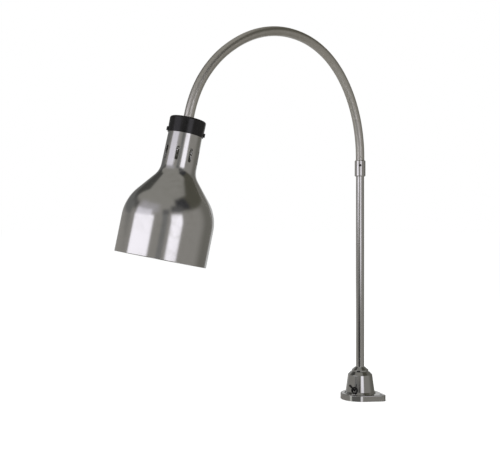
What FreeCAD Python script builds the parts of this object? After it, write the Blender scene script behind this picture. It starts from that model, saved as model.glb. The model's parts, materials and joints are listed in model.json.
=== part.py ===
"""Flexible-arm infrared heat lamp: a counter base, a post, a bending arm and a bell shade.

Millimetres. The origin is the centre of the base's bottom face, +Z is up, and the arm
arches over in the XZ plane towards -X. Each sub-part is written to parts/NODE.step.
"""
import FreeCAD, Part
import math
import os
from FreeCAD import Matrix, Placement, Rotation, Vector

# ---- driving dimensions -------------------------------------------------------------
# Base casting
flange_radius = 38.3
flange_thickness = 11.6
flange_edge_round = 1.6
lug_reach = 45.0            # from the post axis to the lug's screw hole
lug_radius = 9.0
lug_azimuth = -81.0         # degrees from +X
lug_hole_radius = 2.75
body_bottom_radius = 28.6
body_top_radius = 23.7
body_height = 36.1          # from the flange's top face to the shoulder
body_foot_bevel = 3.0
shoulder_round = 2.0
shoulder_height = 5.8
shoulder_run = 5.8
casting_wall = 3.5
hub_radius = 13.0
hub_height = 18.0           # length of the post's seat in the casting

# Collar on the casting's shoulder
collar_radius = 16.2
collar_rim = 3.2
collar_height = 9.0
collar_top_radius = 9.4

# Bottom plate, its screws and the supply inlet
plate_radius = 30.0
plate_thickness = 2.0
boss_radius = 4.2
boss_reach = 19.5
boss_height = 9.0
boss_spread = 105.0         # degrees on each side of the switch
plate_screw_radius = 1.5
plate_screw_head = 2.8
plate_screw_length = 8.0
inlet_bore_radius = 4.5
inlet_wall = 1.2
inlet_lip = 1.6
inlet_length = 6.0

# Post and its fittings
post_radius = 7.9375        # five-eighths inch tube
post_wall = 1.5
post_height = 450.0         # top of the tube, inside the coupling
post_tail = 8.5             # threaded tail under the hub
locknut_flats = 22.0
locknut_height = 4.5
washer_radius = 12.0
washer_thickness = 1.0
coupling_radius = 10.65
coupling_grip = 13.0        # of the coupling's bore on the tube
coupling_length = 32.0
coupling_bevel = 1.6
coupling_web = 4.0
grub_screw_radius = 2.5
grub_screw_length = 2.6
grub_screw_flats = 2.5
grub_screw_rise = 21.7      # above the coupling's bottom edge
grub_screw_azimuth = 216.0

# Bending arm: ball-and-socket links that follow the arm's centre line
neck_stand = 6.0            # first ball's centre above the coupling
link_count = 12
link_length = 54.3
link_radius = 8.4
turn_by_link = [15.0] * 5 + [11.6] * 5 + [18.4] * 2    # degrees, in the arm's plane
first_sway = 0.9            # degrees per link, sideways, at the post
last_sway = -1.3            # degrees per link, sideways, at the shade
ball_radius = 6.4
ball_top = 3.0
ball_neck_radius = 4.8
socket_lip = 2.2
socket_space = 0.3
link_gap = 2.3
ball_mouth_step = 0.4
ball_mouth = 1.0

# Lead sleeve that runs the whole way to the lamp holder
sleeve_radius = 3.0
sleeve_space = 0.2
sleeve_break = 0.45         # each length ends this far from a ball's centre
lead_radius = 1.0

# Head: distances are from the cap's top face, along the head's axis towards the rim
head_stem = 8.0
cap_space = 0.5             # radial, between the top of the shade's neck and the cap
cap_taper = 0.5             # the cap's radius at the top less its radius at the bottom
cap_height = 26.0
cap_wall = 1.7
cap_top = 3.0
cap_edge_round = 3.0
nipple_radius = 5.0
nipple_end = 10.0
cap_nut_flats = 15.0
cap_nut_height = 3.6
bracket_thickness = 1.5
bracket_width = 13.0
bracket_arm = 24.5
socket_plate_thickness = 12.0
cap_screw_place = 21.0
cap_screw_radius = 2.0
cap_screw_head = 3.4
cap_screw_head_height = 2.2
cap_screw_length = 4.6

# Shade
shade_top = 10.5
shade_wall = 1.0
neck_top_radius = 27.2
neck_bottom_radius = 28.5
cone_place = 89.2           # where the neck's and the cone's lines cross
cone_half_angle = 39.4
cone_round = 30.0
bell_radius = 73.6
bell_round = 70.0
rim_place = 229.0
hem_width = 0.8
hem_length = 2.6
slot_count = 8
slot_place = 59.6
slot_length = 22.4
slot_width = 5.4
front_azimuth = 228.0       # azimuth of the head's front; the cap's screws are at its sides
slot_offset = 14.0          # turn of the first slot from the front
cap_hollow = neck_top_radius + cap_space
cap_top_radius = cap_hollow + cap_wall
cap_bottom_radius = cap_top_radius - cap_taper

# Lamp holder and lamp
holder_radius = 19.0
holder_length = 39.0
holder_wall = 4.9
holder_floor = 10.5
holder_recess_radius = 4.6
holder_recess = 4.0
shell_radius = 13.9
shell_wall = 0.5
shell_length = 27.0
contact_radius = 4.0
contact_height = 2.4
holder_screw_radius = 1.6
holder_screw_head = 3.0
holder_screw_head_height = 1.6
holder_screw_spread = 11.0
holder_screw_length = 6.0
lamp_base_radius = 13.1
lamp_base_length = 26.0
lamp_tip_radius = 4.2
lamp_tip_height = 1.4
lamp_neck_radius = 16.4
lamp_neck_rise = 9.0        # from the end of the threaded cap to the straight neck
lamp_cone_start = 79.0
lamp_cone_half_angle = 33.0
lamp_radius = 63.5
lamp_face_place = 190.0
lamp_face_crown = 20.0
lamp_side_round = 24.0
lamp_edge_round = 16.0
lamp_glass_wall = 1.0
stem_radius = 3.2
stem_end = 112.0
filament_ring_radius = 9.0
filament_wire_radius = 0.5
support_wire_radius = 0.6
support_rise = 13.0          # of the filament ring over the stem's end

# Switch in the side of the casting
switch_azimuth = 193.0
switch_height = 19.6
switch_flat_depth = 2.0     # of the flat under the bezel, in the casting's side
bezel_radius = 7.0
bezel_height = 3.0
bezel_space = 0.6           # round the bezel, on the flat
bushing_radius = 5.9
bushing_length = 5.0
bushing_bore = 3.7
bushing_mouth = 4.7
switch_body_width = 12.0
switch_body_depth = 14.0
switch_terminal = 3.0
lever_pivot = 1.2           # in front of the flat
lever_ball_radius = 2.4
lever_root_radius = 1.4
lever_tip_radius = 2.3
lever_length = 27.0
lever_tilt = 30.0           # above level, at rest

# Wire nuts in the base
wire_nut_radius = 4.2
wire_nut_tip_radius = 2.6
wire_nut_height = 14.0
wire_nut_back = 12.0
wire_nut_spread = 7.0

# Fits
slip_fit = 0.05             # radial, between pieces that are fixed together
hole_fit = 0.1              # radial, round a screw or a bushing


# ---- helpers ------------------------------------------------------------------------
def outline(corners):
    """Closed wire in the XZ plane through (x, z, radius) corners, rounded where radius > 0."""
    places = [Vector(x, 0, z) for x, z, radius in corners]
    stops = []
    for index, (x, z, radius) in enumerate(corners):
        here = places[index]
        if radius <= 0:
            stops.append((here, here, None))
            continue
        back = (places[index - 1] - here).normalize()
        onward = (places[(index + 1) % len(places)] - here).normalize()
        half = back.getAngle(onward) / 2
        bisector = (back + onward).normalize()
        start = here + back * (radius / math.tan(half))
        end = here + onward * (radius / math.tan(half))
        middle = here + bisector * (radius / math.sin(half) - radius)
        stops.append((start, end, middle))
    edges = []
    for index, (start, end, middle) in enumerate(stops):
        if middle is not None:
            edges.append(Part.Arc(start, middle, end).toShape())
        following = stops[(index + 1) % len(stops)][0]
        if end.distanceToPoint(following) > 1e-7:
            edges.append(Part.LineSegment(end, following).toShape())
    return Part.Wire(edges)


def revolved(corners):
    """Solid turned about Z from an outline of (radius, height, rounding) corners."""
    return Part.Face(outline(corners)).revolve(Vector(0, 0, 0), Vector(0, 0, 1), 360)


def ring(outer, inner, bottom, top):
    """Plain ring about Z."""
    body = Part.makeCylinder(outer, top - bottom, Vector(0, 0, bottom))
    return body.cut(Part.makeCylinder(inner, top - bottom, Vector(0, 0, bottom)))


def hexagon(flats, bottom, top):
    """Hexagonal bar about Z."""
    corner = flats / 2 / math.cos(math.radians(30))
    points = [Vector(corner * math.cos(math.radians(60 * k)), corner * math.sin(math.radians(60 * k)), bottom)
              for k in range(7)]
    return Part.Face(Part.makePolygon(points)).extrude(Vector(0, 0, top - bottom))


def turned(shape, degrees, place=Vector(0, 0, 0)):
    """Copy of a shape turned about Z and then moved."""
    copy = shape.copy()
    copy.Placement = Placement(place, Rotation(Vector(0, 0, 1), degrees)).multiply(copy.Placement)
    return copy


def facing_out(shape, azimuth, reach, height):
    """Copy of a shape whose +Z now points outwards at an azimuth, with its +X pointing down."""
    out = Vector(math.cos(math.radians(azimuth)), math.sin(math.radians(azimuth)), 0)
    down = Vector(0, 0, -1)
    return framed(shape, out * reach + Vector(0, 0, height), down, out.cross(down), out)


def framed(shape, place, x_axis, y_axis, z_axis):
    """Copy of a shape moved into a frame given by its origin and axes."""
    matrix = Matrix(x_axis.x, y_axis.x, z_axis.x, place.x,
                    x_axis.y, y_axis.y, z_axis.y, place.y,
                    x_axis.z, y_axis.z, z_axis.z, place.z,
                    0, 0, 0, 1)
    copy = shape.copy()
    copy.Placement = Placement(matrix).multiply(copy.Placement)
    return copy


def one_solid(shape):
    """The single solid of a cleaned boolean result."""
    solids = shape.removeSplitter().Solids
    if len(solids) != 1:
        raise ValueError(f"expected one solid, got {len(solids)}")
    return solids[0]


def wire_run(points, radius):
    """Round lead along straight runs joined by tangent arcs."""
    edges = []
    start = points[0]
    for before, corner, after in zip(points, points[1:], points[2:]):
        back = (before - corner).normalize()
        onward = (after - corner).normalize()
        half = back.getAngle(onward) / 2
        reach = 0.45 * min(before.distanceToPoint(corner), corner.distanceToPoint(after))
        bend = reach * math.tan(half)
        middle = corner + (back + onward).normalize() * (bend / math.sin(half) - bend)
        edges.append(Part.LineSegment(start, corner + back * reach).toShape())
        edges.append(Part.Arc(corner + back * reach, middle, corner + onward * reach).toShape())
        start = corner + onward * reach
    edges.append(Part.LineSegment(start, points[-1]).toShape())
    path = Part.Wire(edges)
    section = Part.Wire([Part.makeCircle(radius, points[0], points[1] - points[0])])
    return path.makePipeShell([section], True, False)


# ---- base ---------------------------------------------------------------------------
shoulder_top = flange_thickness + body_height + shoulder_height
hub_bottom = shoulder_top - hub_height
post_bore = post_radius + slip_fit
post_bottom = hub_bottom - post_tail
boss_azimuths = (switch_azimuth - boss_spread, switch_azimuth + boss_spread)


def flange():
    """Round flange with one tapered lug, drilled for a screw, its top edge rounded."""
    half_angle = math.degrees(math.acos((flange_radius - lug_radius) / lug_reach))
    lug_centre = Vector(lug_reach, 0, 0)

    def on_circle(centre, radius, degrees):
        angle = math.radians(degrees)
        return centre + Vector(radius * math.cos(angle), radius * math.sin(angle), 0)

    centre = Vector(0, 0, 0)
    disc_low = on_circle(centre, flange_radius, -half_angle)
    disc_high = on_circle(centre, flange_radius, half_angle)
    tip_low = on_circle(lug_centre, lug_radius, -half_angle)
    tip_high = on_circle(lug_centre, lug_radius, half_angle)
    edges = [
        Part.LineSegment(disc_low, tip_low).toShape(),
        Part.Arc(tip_low, on_circle(lug_centre, lug_radius, 0), tip_high).toShape(),
        Part.LineSegment(tip_high, disc_high).toShape(),
        Part.Arc(disc_high, on_circle(centre, flange_radius, 180), disc_low).toShape(),
    ]
    plate = Part.Face(Part.Wire(edges)).extrude(Vector(0, 0, flange_thickness))
    top_edges = [edge for edge in plate.Edges if edge.BoundBox.ZMin > flange_thickness - 1e-6]
    plate = plate.makeFillet(flange_edge_round, top_edges)
    hole = Part.makeCylinder(lug_hole_radius, flange_thickness, lug_centre)
    return turned(plate.cut(hole), lug_azimuth)


def body_radius_at(height):
    """Outer radius of the casting's tapered body."""
    share = (height - flange_thickness) / body_height
    return body_bottom_radius + share * (body_top_radius - body_bottom_radius)


switch_face_reach = body_radius_at(switch_height) - switch_flat_depth


def base_casting():
    """Hollow casting: flange and lug, tapered body, shoulder, and an inner hub for the post."""
    shoulder = flange_thickness + body_height
    body = revolved([
        (0, 0, 0),
        (body_bottom_radius, 0, 0),
        (body_bottom_radius, flange_thickness, 0),
        (body_top_radius, shoulder, shoulder_round),
        (body_top_radius - shoulder_run, shoulder_top, 0),
        (0, shoulder_top, 0),
    ])
    foot = revolved([
        (0, flange_thickness - 1, 0),
        (body_bottom_radius + body_foot_bevel, flange_thickness - 1, 0),
        (body_bottom_radius + body_foot_bevel, flange_thickness, 0),
        (body_radius_at(flange_thickness + body_foot_bevel), flange_thickness + body_foot_bevel, 0),
        (0, flange_thickness + body_foot_bevel, 0),
    ])
    cavity = revolved([
        (0, 0, 0),
        (body_bottom_radius - casting_wall, 0, 0),
        (body_bottom_radius - casting_wall, flange_thickness, 0),
        (body_top_radius - casting_wall, shoulder - casting_wall, 3.0),
        (0, shoulder - casting_wall, 0),
    ])
    hub = Part.makeCylinder(hub_radius, shoulder - hub_bottom, Vector(0, 0, hub_bottom))
    casting = flange().fuse([body, foot]).cut(cavity).fuse(hub)
    bosses = []
    for azimuth in boss_azimuths:
        boss = Part.makeCylinder(boss_radius, boss_height, Vector(boss_reach, 0, plate_thickness))
        web = Part.makeBox(body_bottom_radius - casting_wall + 1 - boss_reach, boss_radius, boss_height,
                           Vector(boss_reach, -boss_radius / 2, plate_thickness))
        bosses.append(turned(boss.fuse(web), azimuth))
    casting = casting.fuse(bosses)
    cuts = [
        Part.makeCylinder(plate_radius + slip_fit, plate_thickness),
        Part.makeCylinder(post_bore, shoulder_top),
        facing_out(Part.makeCylinder(bezel_radius + bezel_space, body_bottom_radius),
                   switch_azimuth, switch_face_reach, switch_height),
        facing_out(Part.makeCylinder(bushing_radius + hole_fit, 2 * casting_wall,
                                     Vector(0, 0, -2 * casting_wall)),
                   switch_azimuth, switch_face_reach, switch_height),
    ]
    for azimuth in boss_azimuths:
        pilot = Part.makeCylinder(plate_screw_radius + slip_fit, plate_screw_length, Vector(boss_reach, 0, 0))
        cuts.append(turned(pilot, azimuth))
    return one_solid(casting.cut(cuts))


def base_collar():
    """Cone-topped ring that closes the shoulder round the post."""
    return one_solid(revolved([
        (post_bore, shoulder_top, 0),
        (collar_radius, shoulder_top, 0),
        (collar_radius, shoulder_top + collar_rim, 0.8),
        (collar_top_radius, shoulder_top + collar_height, 0.6),
        (post_bore, shoulder_top + collar_height, 0),
    ]))


def screw_place(azimuth, reach, height):
    """Point at an azimuth and reach from the Z axis."""
    return Vector(reach * math.cos(math.radians(azimuth)), reach * math.sin(math.radians(azimuth)), height)


def countersunk_screw():
    """Flat-head screw pointing up, its head flush with the plate's underside."""
    head = revolved([
        (0, 0, 0),
        (plate_screw_head, 0, 0),
        (plate_screw_radius, plate_screw_head - plate_screw_radius, 0),
        (plate_screw_radius, plate_screw_length - 1, 0),
        (0, plate_screw_length - 1, 0),
    ])
    slot = Part.makeBox(4 * plate_screw_head, 0.8, 0.6, Vector(-2 * plate_screw_head, -0.4, 0))
    return one_solid(head.cut(slot))


def base_plate():
    """Round plate that closes the casting from below."""
    plate = Part.makeCylinder(plate_radius, plate_thickness)
    cuts = [Part.makeCylinder(inlet_bore_radius + inlet_wall + slip_fit, plate_thickness)]
    sink = revolved([
        (0, 0, 0),
        (plate_screw_head + slip_fit, 0, 0),
        (plate_screw_radius + slip_fit, plate_screw_head - plate_screw_radius, 0),
        (plate_screw_radius + slip_fit, plate_thickness + 1, 0),
        (0, plate_thickness + 1, 0),
    ])
    for azimuth in boss_azimuths:
        cuts.append(turned(sink, azimuth, screw_place(azimuth, boss_reach, 0)))
    return one_solid(plate.cut(cuts))


def base_plate_screws():
    """Flat-head screws that hold the plate, one per boss."""
    screw = countersunk_screw()
    return Part.makeCompound([turned(screw, azimuth, screw_place(azimuth, boss_reach, 0))
                              for azimuth in boss_azimuths])


def inlet_bushing():
    """Flanged bushing through which the supply cord would come up from the counter."""
    outer = inlet_bore_radius + inlet_wall
    return one_solid(revolved([
        (inlet_bore_radius, 0, 0),
        (outer, 0, 0),
        (outer, plate_thickness, 0),
        (outer + inlet_lip, plate_thickness, 0),
        (outer + inlet_lip, plate_thickness + 1.4, 0.4),
        (outer, plate_thickness + 1.4, 0),
        (outer, inlet_length, 0),
        (inlet_bore_radius, inlet_length, 0),
    ]))


def wire_nut_places():
    """The wire nuts stand on the plate behind the switch."""
    frame = Rotation(Vector(0, 0, 1), switch_azimuth)
    return [frame.multVec(Vector(-wire_nut_back, side * wire_nut_spread, plate_thickness))
            for side in (1, -1)]


def wire_nuts():
    """Two ribless twist-on caps, tips down."""
    nut = revolved([
        (0, 0, 0),
        (wire_nut_tip_radius, 0, 0.8),
        (wire_nut_radius, wire_nut_height, 0.8),
        (0, wire_nut_height, 0),
    ])
    return Part.makeCompound([turned(nut, 0, place) for place in wire_nut_places()])


def base_lead(points):
    """Lead in the base, from points in the switch's frame: out, across, up."""
    frame = Rotation(Vector(0, 0, 1), switch_azimuth)
    return wire_run([frame.multVec(Vector(*point)) for point in points], lead_radius)


terminal_reach = switch_face_reach - bezel_height - switch_body_depth - switch_terminal
terminal_spread = 3.5
nut_top = plate_thickness + wire_nut_height
sleeve_bottom = post_bottom - 1.0


def line_lead():
    """From a wire nut to the switch."""
    return base_lead([
        (-wire_nut_back, wire_nut_spread, nut_top),
        (-wire_nut_back, wire_nut_spread, nut_top + 6.5),
        (terminal_reach - 7.5, terminal_spread, switch_height),
        (terminal_reach, terminal_spread, switch_height),
    ])


def switched_lead():
    """From the switch up to the lead sleeve."""
    return base_lead([
        (terminal_reach, -terminal_spread, switch_height),
        (terminal_reach - 2.6, -terminal_spread, switch_height),
        (1.5, -0.6, switch_height + 3.4),
        (1.5, -0.6, sleeve_bottom),
    ])


def neutral_lead():
    """From the other wire nut up to the lead sleeve."""
    return base_lead([
        (-wire_nut_back, -wire_nut_spread, nut_top),
        (-wire_nut_back, -wire_nut_spread, nut_top + 4.5),
        (-1.5, 1.4, nut_top + 4.5),
        (-1.5, 1.4, sleeve_bottom),
    ])


# ---- switch -------------------------------------------------------------------------
def switch_bushing():
    """Threaded bushing with a flared mouth that lets the lever tilt."""
    shape = revolved([
        (0, -bezel_height - 1, 0),
        (bushing_radius, -bezel_height - 1, 0),
        (bushing_radius, bushing_length, 0.5),
        (0, bushing_length, 0),
    ])
    mouth = revolved([
        (0, lever_pivot - lever_ball_radius - 0.6, 0),
        (bushing_bore, lever_pivot - lever_ball_radius - 0.6, 0),
        (bushing_bore, lever_pivot + 1.0, 0),
        (bushing_mouth, bushing_length, 0),
        (0, bushing_length, 0),
    ])
    return facing_out(one_solid(shape.cut(mouth)), switch_azimuth, switch_face_reach, switch_height)


def switch_bezel():
    """Round black nut on the outside of the casting."""
    nut = revolved([
        (bushing_radius + slip_fit, 0, 0),
        (bezel_radius, 0, 0),
        (bezel_radius, bezel_height, 0.8),
        (bushing_radius + slip_fit, bezel_height, 0),
    ])
    return facing_out(nut, switch_azimuth, switch_face_reach, switch_height)


def switch_body():
    """Moulded switch block with two terminals, inside the casting."""
    top = -bezel_height - 1
    block = Part.makeBox(switch_body_width, switch_body_width, switch_body_depth - 1,
                         Vector(-switch_body_width / 2, -switch_body_width / 2, top - switch_body_depth + 1))
    tabs = [Part.makeBox(1.2, 3.0, switch_terminal,
                         Vector(-0.6, side * terminal_spread - 1.5,
                                top - switch_body_depth - switch_terminal + 1))
            for side in (1, -1)]
    return facing_out(one_solid(block.fuse(tabs)), switch_azimuth, switch_face_reach, switch_height)


def switch_lever():
    """Bat-shaped lever on a ball, tilted up."""
    bat = revolved([
        (0, 0, 0),
        (lever_root_radius, 0, 0),
        (lever_root_radius, bushing_length, 0),
        (lever_tip_radius, lever_length, lever_tip_radius * 0.8),
        (0, lever_length, 0),
    ])
    lever = one_solid(bat.fuse(Part.makeSphere(lever_ball_radius)))
    lever.Placement = Placement(Vector(0, 0, lever_pivot), Rotation(Vector(0, 1, 0), -lever_tilt))
    return facing_out(lever, switch_azimuth, switch_face_reach, switch_height)


def lever_pivot_point():
    """Centre of the lever's ball and its turning axis, which lowers the lever when positive."""
    out = Vector(math.cos(math.radians(switch_azimuth)), math.sin(math.radians(switch_azimuth)), 0)
    return out * (switch_face_reach + lever_pivot) + Vector(0, 0, switch_height), out.cross(Vector(0, 0, -1))


# ---- post ---------------------------------------------------------------------------
def post_tube():
    """Upright tube, from its threaded tail under the hub to inside the coupling."""
    return one_solid(ring(post_radius, post_radius - post_wall, post_bottom, post_height))


def post_washer():
    """Washer between the hub and the locknut."""
    return one_solid(ring(washer_radius, post_bore, hub_bottom - washer_thickness, hub_bottom))


def post_locknut():
    """Hexagonal nut that clamps the post in the casting."""
    top = hub_bottom - washer_thickness
    bottom = top - locknut_height
    nut = hexagon(locknut_flats, bottom, top)
    return one_solid(nut.cut(Part.makeCylinder(post_bore, locknut_height, Vector(0, 0, bottom))))


coupling_bottom = post_height - coupling_grip
coupling_top = coupling_bottom + coupling_length
grub_screw_height = coupling_bottom + grub_screw_rise
plug_bottom = post_height + coupling_web
sleeve_bore = sleeve_radius + sleeve_space
neck_start_height = coupling_top + neck_stand


def coupling():
    """Sleeve that joins the post and the arm, bevelled at both ends, with a cross hole."""
    body = revolved([
        (sleeve_bore, coupling_bottom, 0),
        (coupling_radius - coupling_bevel, coupling_bottom, 0),
        (coupling_radius, coupling_bottom + coupling_bevel, 0),
        (coupling_radius, coupling_top - coupling_bevel, 0),
        (coupling_radius - coupling_bevel, coupling_top, 0),
        (sleeve_bore, coupling_top, 0),
    ])
    cuts = [
        Part.makeCylinder(post_bore, post_height - coupling_bottom, Vector(0, 0, coupling_bottom)),
        Part.makeCylinder(post_bore, coupling_top - plug_bottom, Vector(0, 0, plug_bottom)),
        facing_out(Part.makeCylinder(grub_screw_radius + slip_fit, coupling_radius),
                   grub_screw_azimuth, 0, grub_screw_height),
    ]
    return one_solid(body.cut(cuts))


def coupling_screw():
    """Grub screw with a hexagon socket, flush with the coupling."""
    screw = Part.makeCylinder(grub_screw_radius, grub_screw_length, Vector(0, 0, -grub_screw_length))
    screw = one_solid(screw.cut(hexagon(grub_screw_flats, -1.4, 0)))
    return facing_out(screw, grub_screw_azimuth, post_bore + grub_screw_length, grub_screw_height)


# ---- bending arm --------------------------------------------------------------------
def neck_frames():
    """Ball centres with tangent, in-plane normal and side vector, one more than there are links."""
    place = Vector(0, 0, neck_start_height)
    tangent = Vector(0, 0, 1)
    normal = Vector(-1, 0, 0)
    frames = [(place, tangent, normal, tangent.cross(normal))]
    for index, turn in enumerate(turn_by_link):
        share = index / (link_count - 1)
        sway = first_sway + share * (last_sway - first_sway)
        side = tangent.cross(normal)
        inward = (normal * turn + side * sway).normalize()
        angle = math.radians(math.hypot(turn, sway))
        radius = link_length / angle
        place = place + tangent * (radius * math.sin(angle)) + inward * (radius * (1 - math.cos(angle)))
        rotation = Rotation(tangent.cross(inward), math.degrees(angle))
        tangent = rotation.multVec(tangent)
        normal = rotation.multVec(normal)
        frames.append((place, tangent, normal, tangent.cross(normal)))
    return frames


FRAMES = neck_frames()


def along_link(index, outer, start, end):
    """Round bar of a radius along one link's arc, between two distances from its first ball."""
    place, tangent, normal, side = FRAMES[index]
    turn = turn_by_link[index]
    share = index / (link_count - 1)
    sway = first_sway + share * (last_sway - first_sway)
    inward = (normal * turn + side * sway).normalize()
    angle = math.hypot(turn, sway)
    radius = link_length / math.radians(angle)
    centre = place + inward * radius
    axis = tangent.cross(inward)
    begin = angle * start / link_length
    disc = Part.Face(Part.Wire([Part.makeCircle(outer, place, tangent)]))
    disc.rotate(centre, axis, begin)
    return disc.revolve(centre, axis, angle * (end - start) / link_length)


def ball_end(place, tangent):
    """Ball and neck that end a link: a sphere cut flat beyond its centre, without its bore."""
    latitude = math.degrees(math.asin(ball_top / ball_radius))
    neck_length = socket_lip + link_gap + 1.0
    ball = Part.makeSphere(ball_radius, place, tangent, -90, latitude, 360)
    neck = Part.makeCylinder(ball_neck_radius, neck_length, place - tangent * neck_length, tangent)
    return ball.fuse(neck)


def ball_flare(place, tangent):
    """Cone that widens a ball's bore so that the lead sleeve can tilt in it."""
    start = sleeve_bore + ball_mouth_step
    return Part.makeCone(start, sleeve_bore + ball_mouth, ball_top, place, tangent)


def neck_link(index):
    """One link of the arm: a socket at the post's end, an arc of tube, and a ball."""
    place, tangent, normal, side = FRAMES[index]
    far_place, far_tangent = FRAMES[index + 1][:2]
    tube = along_link(index, link_radius, 0, link_length - socket_lip - link_gap)
    lip = Part.makeCylinder(link_radius, socket_lip, place - tangent * socket_lip, tangent)
    solid = tube.fuse([lip, ball_end(far_place, far_tangent)])
    cuts = [
        Part.makeSphere(ball_radius + socket_space, place, tangent),
        along_link(index, sleeve_bore, 0, link_length),
        ball_flare(far_place, far_tangent),
    ]
    return one_solid(solid.cut(cuts))


def lead_sleeve(index):
    """The length of lead sleeve inside one link."""
    return along_link(index, sleeve_radius, sleeve_break, link_length - sleeve_break).Solids[0]


def lower_ferrule():
    """Plug in the coupling that carries the arm's first ball."""
    shoulder = neck_start_height - socket_lip - link_gap
    plug = revolved([
        (0, plug_bottom, 0),
        (post_radius, plug_bottom, 0),
        (post_radius, coupling_top, 0),
        (link_radius, coupling_top, 0),
        (link_radius, shoulder, 0.5),
        (0, shoulder, 0),
    ])
    place, tangent = FRAMES[0][:2]
    bore = Part.makeCylinder(sleeve_bore, neck_start_height - plug_bottom, Vector(0, 0, plug_bottom))
    return one_solid(plug.fuse(ball_end(place, tangent)).cut([bore, ball_flare(place, tangent)]))


def post_sleeve():
    """Lead sleeve from the base up through the post and the lower ferrule."""
    length = neck_start_height - sleeve_break - sleeve_bottom
    return Part.makeCylinder(sleeve_radius, length, Vector(0, 0, sleeve_bottom))


# ---- head, in its own frame: origin on the cap's top face, +Z towards the rim ---------
def in_head(shape):
    """Copy of a shape moved from the head's frame to its place."""
    place, tangent, normal, side = FRAMES[-1]
    return framed(shape, place + tangent * head_stem, normal, side, tangent)


def head_angle(azimuth):
    """Angle in the head's frame of a level direction, given as an azimuth."""
    place, tangent, normal, side = FRAMES[-1]
    level = screw_place(azimuth, 1.0, 0)
    return math.degrees(math.atan2(level.dot(side), level.dot(normal)))


front_angle = head_angle(front_azimuth)
socket_plate_bottom = socket_plate_thickness + bracket_thickness


def upper_ferrule():
    """Stem with the last socket, its shoulder on the cap and its nipple through it."""
    stem = revolved([
        (0, -head_stem - socket_lip, 0),
        (link_radius, -head_stem - socket_lip, 0),
        (link_radius, 0, 0),
        (nipple_radius, 0, 0),
        (nipple_radius, nipple_end, 0),
        (0, nipple_end, 0),
    ])
    cuts = [
        Part.makeSphere(ball_radius + socket_space, Vector(0, 0, -head_stem)),
        Part.makeCylinder(sleeve_bore, head_stem + nipple_end, Vector(0, 0, -head_stem)),
    ]
    return in_head(one_solid(stem.cut(cuts)))


def head_sleeve():
    """Last length of lead sleeve, from the last ball to the nipple's end."""
    start = sleeve_break - head_stem
    return in_head(Part.makeCylinder(sleeve_radius, nipple_end - start, Vector(0, 0, start)))


def neck_radius_at(place):
    """Outer radius of the shade's neck."""
    share = (place - shade_top) / (cone_place - shade_top)
    return neck_top_radius + share * (neck_bottom_radius - neck_top_radius)


def cap():
    """Black cup over the shade's neck, rounded at the top, with two screw holes."""
    cup = revolved([
        (nipple_radius + slip_fit, 0, 0),
        (cap_top_radius, 0, cap_edge_round),
        (cap_bottom_radius, cap_height, 0.6),
        (neck_radius_at(cap_height) + hole_fit, cap_height, 0),
        (cap_hollow, cap_top, 1.2),
        (nipple_radius + slip_fit, cap_top, 0),
    ])
    return in_head(one_solid(cup.cut(side_holes(cap_screw_radius + slip_fit))))


def side_holes(radius):
    """Two bars across the head's sides, where the cap's screws go."""
    bar = Part.makeCylinder(radius, cap_top_radius, Vector(0, 0, cap_screw_place), Vector(1, 0, 0))
    return [turned(bar, front_angle + side) for side in (90, -90)]


def cap_screws():
    """Two pan-head screws through the cap, the shade's neck and the bracket."""
    share = (cap_screw_place - cap_screw_head) / cap_height
    seat = cap_top_radius + share * (cap_bottom_radius - cap_top_radius)
    head = Part.makeCylinder(cap_screw_head, cap_screw_head_height, Vector(0, 0, seat))
    top_edges = [edge for edge in head.Edges if edge.BoundBox.ZMin > seat + cap_screw_head_height - 1e-6]
    head = head.makeFillet(1.0, top_edges)
    shank = Part.makeCylinder(cap_screw_radius, cap_screw_length, Vector(0, 0, seat - cap_screw_length))
    slot = Part.makeBox(4 * cap_screw_head, 1.0, 0.9,
                        Vector(-2 * cap_screw_head, -0.5, seat + cap_screw_head_height - 0.9))
    screw = one_solid(head.fuse(shank).cut(slot))
    lying = framed(screw, Vector(0, 0, cap_screw_place), Vector(0, 0, -1), Vector(0, 1, 0), Vector(1, 0, 0))
    return Part.makeCompound([in_head(turned(lying, front_angle + side)) for side in (90, -90)])


def cap_nut():
    """Hexagonal nut that clamps the cap and the bracket to the nipple."""
    top = cap_top + bracket_thickness
    nut = hexagon(cap_nut_flats, top, top + cap_nut_height)
    return in_head(one_solid(nut.cut(Part.makeCylinder(nipple_radius + slip_fit, nipple_end))))


def head_bracket():
    """Strap under the cap whose two bent arms hold the shade's neck and the socket plate."""
    outer = neck_top_radius - shade_wall - slip_fit
    cup = Part.makeCylinder(outer, bracket_arm - cap_top, Vector(0, 0, cap_top))
    hollow = Part.makeCylinder(outer - bracket_thickness, bracket_arm,
                               Vector(0, 0, cap_top + bracket_thickness))
    strap = Part.makeBox(2 * outer, bracket_width, bracket_arm, Vector(-outer, -bracket_width / 2, 0))
    strap.rotate(Vector(0, 0, 0), Vector(0, 0, 1), front_angle + 90)
    cuts = [Part.makeCylinder(nipple_radius + slip_fit, bracket_arm)]
    cuts += side_holes(cap_screw_radius + slip_fit)
    return in_head(one_solid(cup.cut(hollow).common(strap).cut(cuts)))


def socket_plate():
    """Cross plate between the bracket's arms, to which the lamp holder is screwed."""
    outer = neck_top_radius - shade_wall - bracket_thickness - 2 * slip_fit
    plate = Part.makeCylinder(outer, bracket_thickness, Vector(0, 0, socket_plate_thickness))
    width = 2.2 * bracket_width
    strap = Part.makeBox(2 * outer, width, bracket_arm, Vector(-outer, -width / 2, 0))
    strap.rotate(Vector(0, 0, 0), Vector(0, 0, 1), front_angle + 90)
    cuts = [Part.makeCylinder(holder_recess_radius, bracket_arm)]
    for side in (1, -1):
        hole = Part.makeCylinder(holder_screw_radius + slip_fit, bracket_arm,
                                 Vector(side * holder_screw_spread, 0, 0))
        cuts.append(turned(hole, front_angle))
    return in_head(one_solid(plate.common(strap).cut(cuts)))


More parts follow.
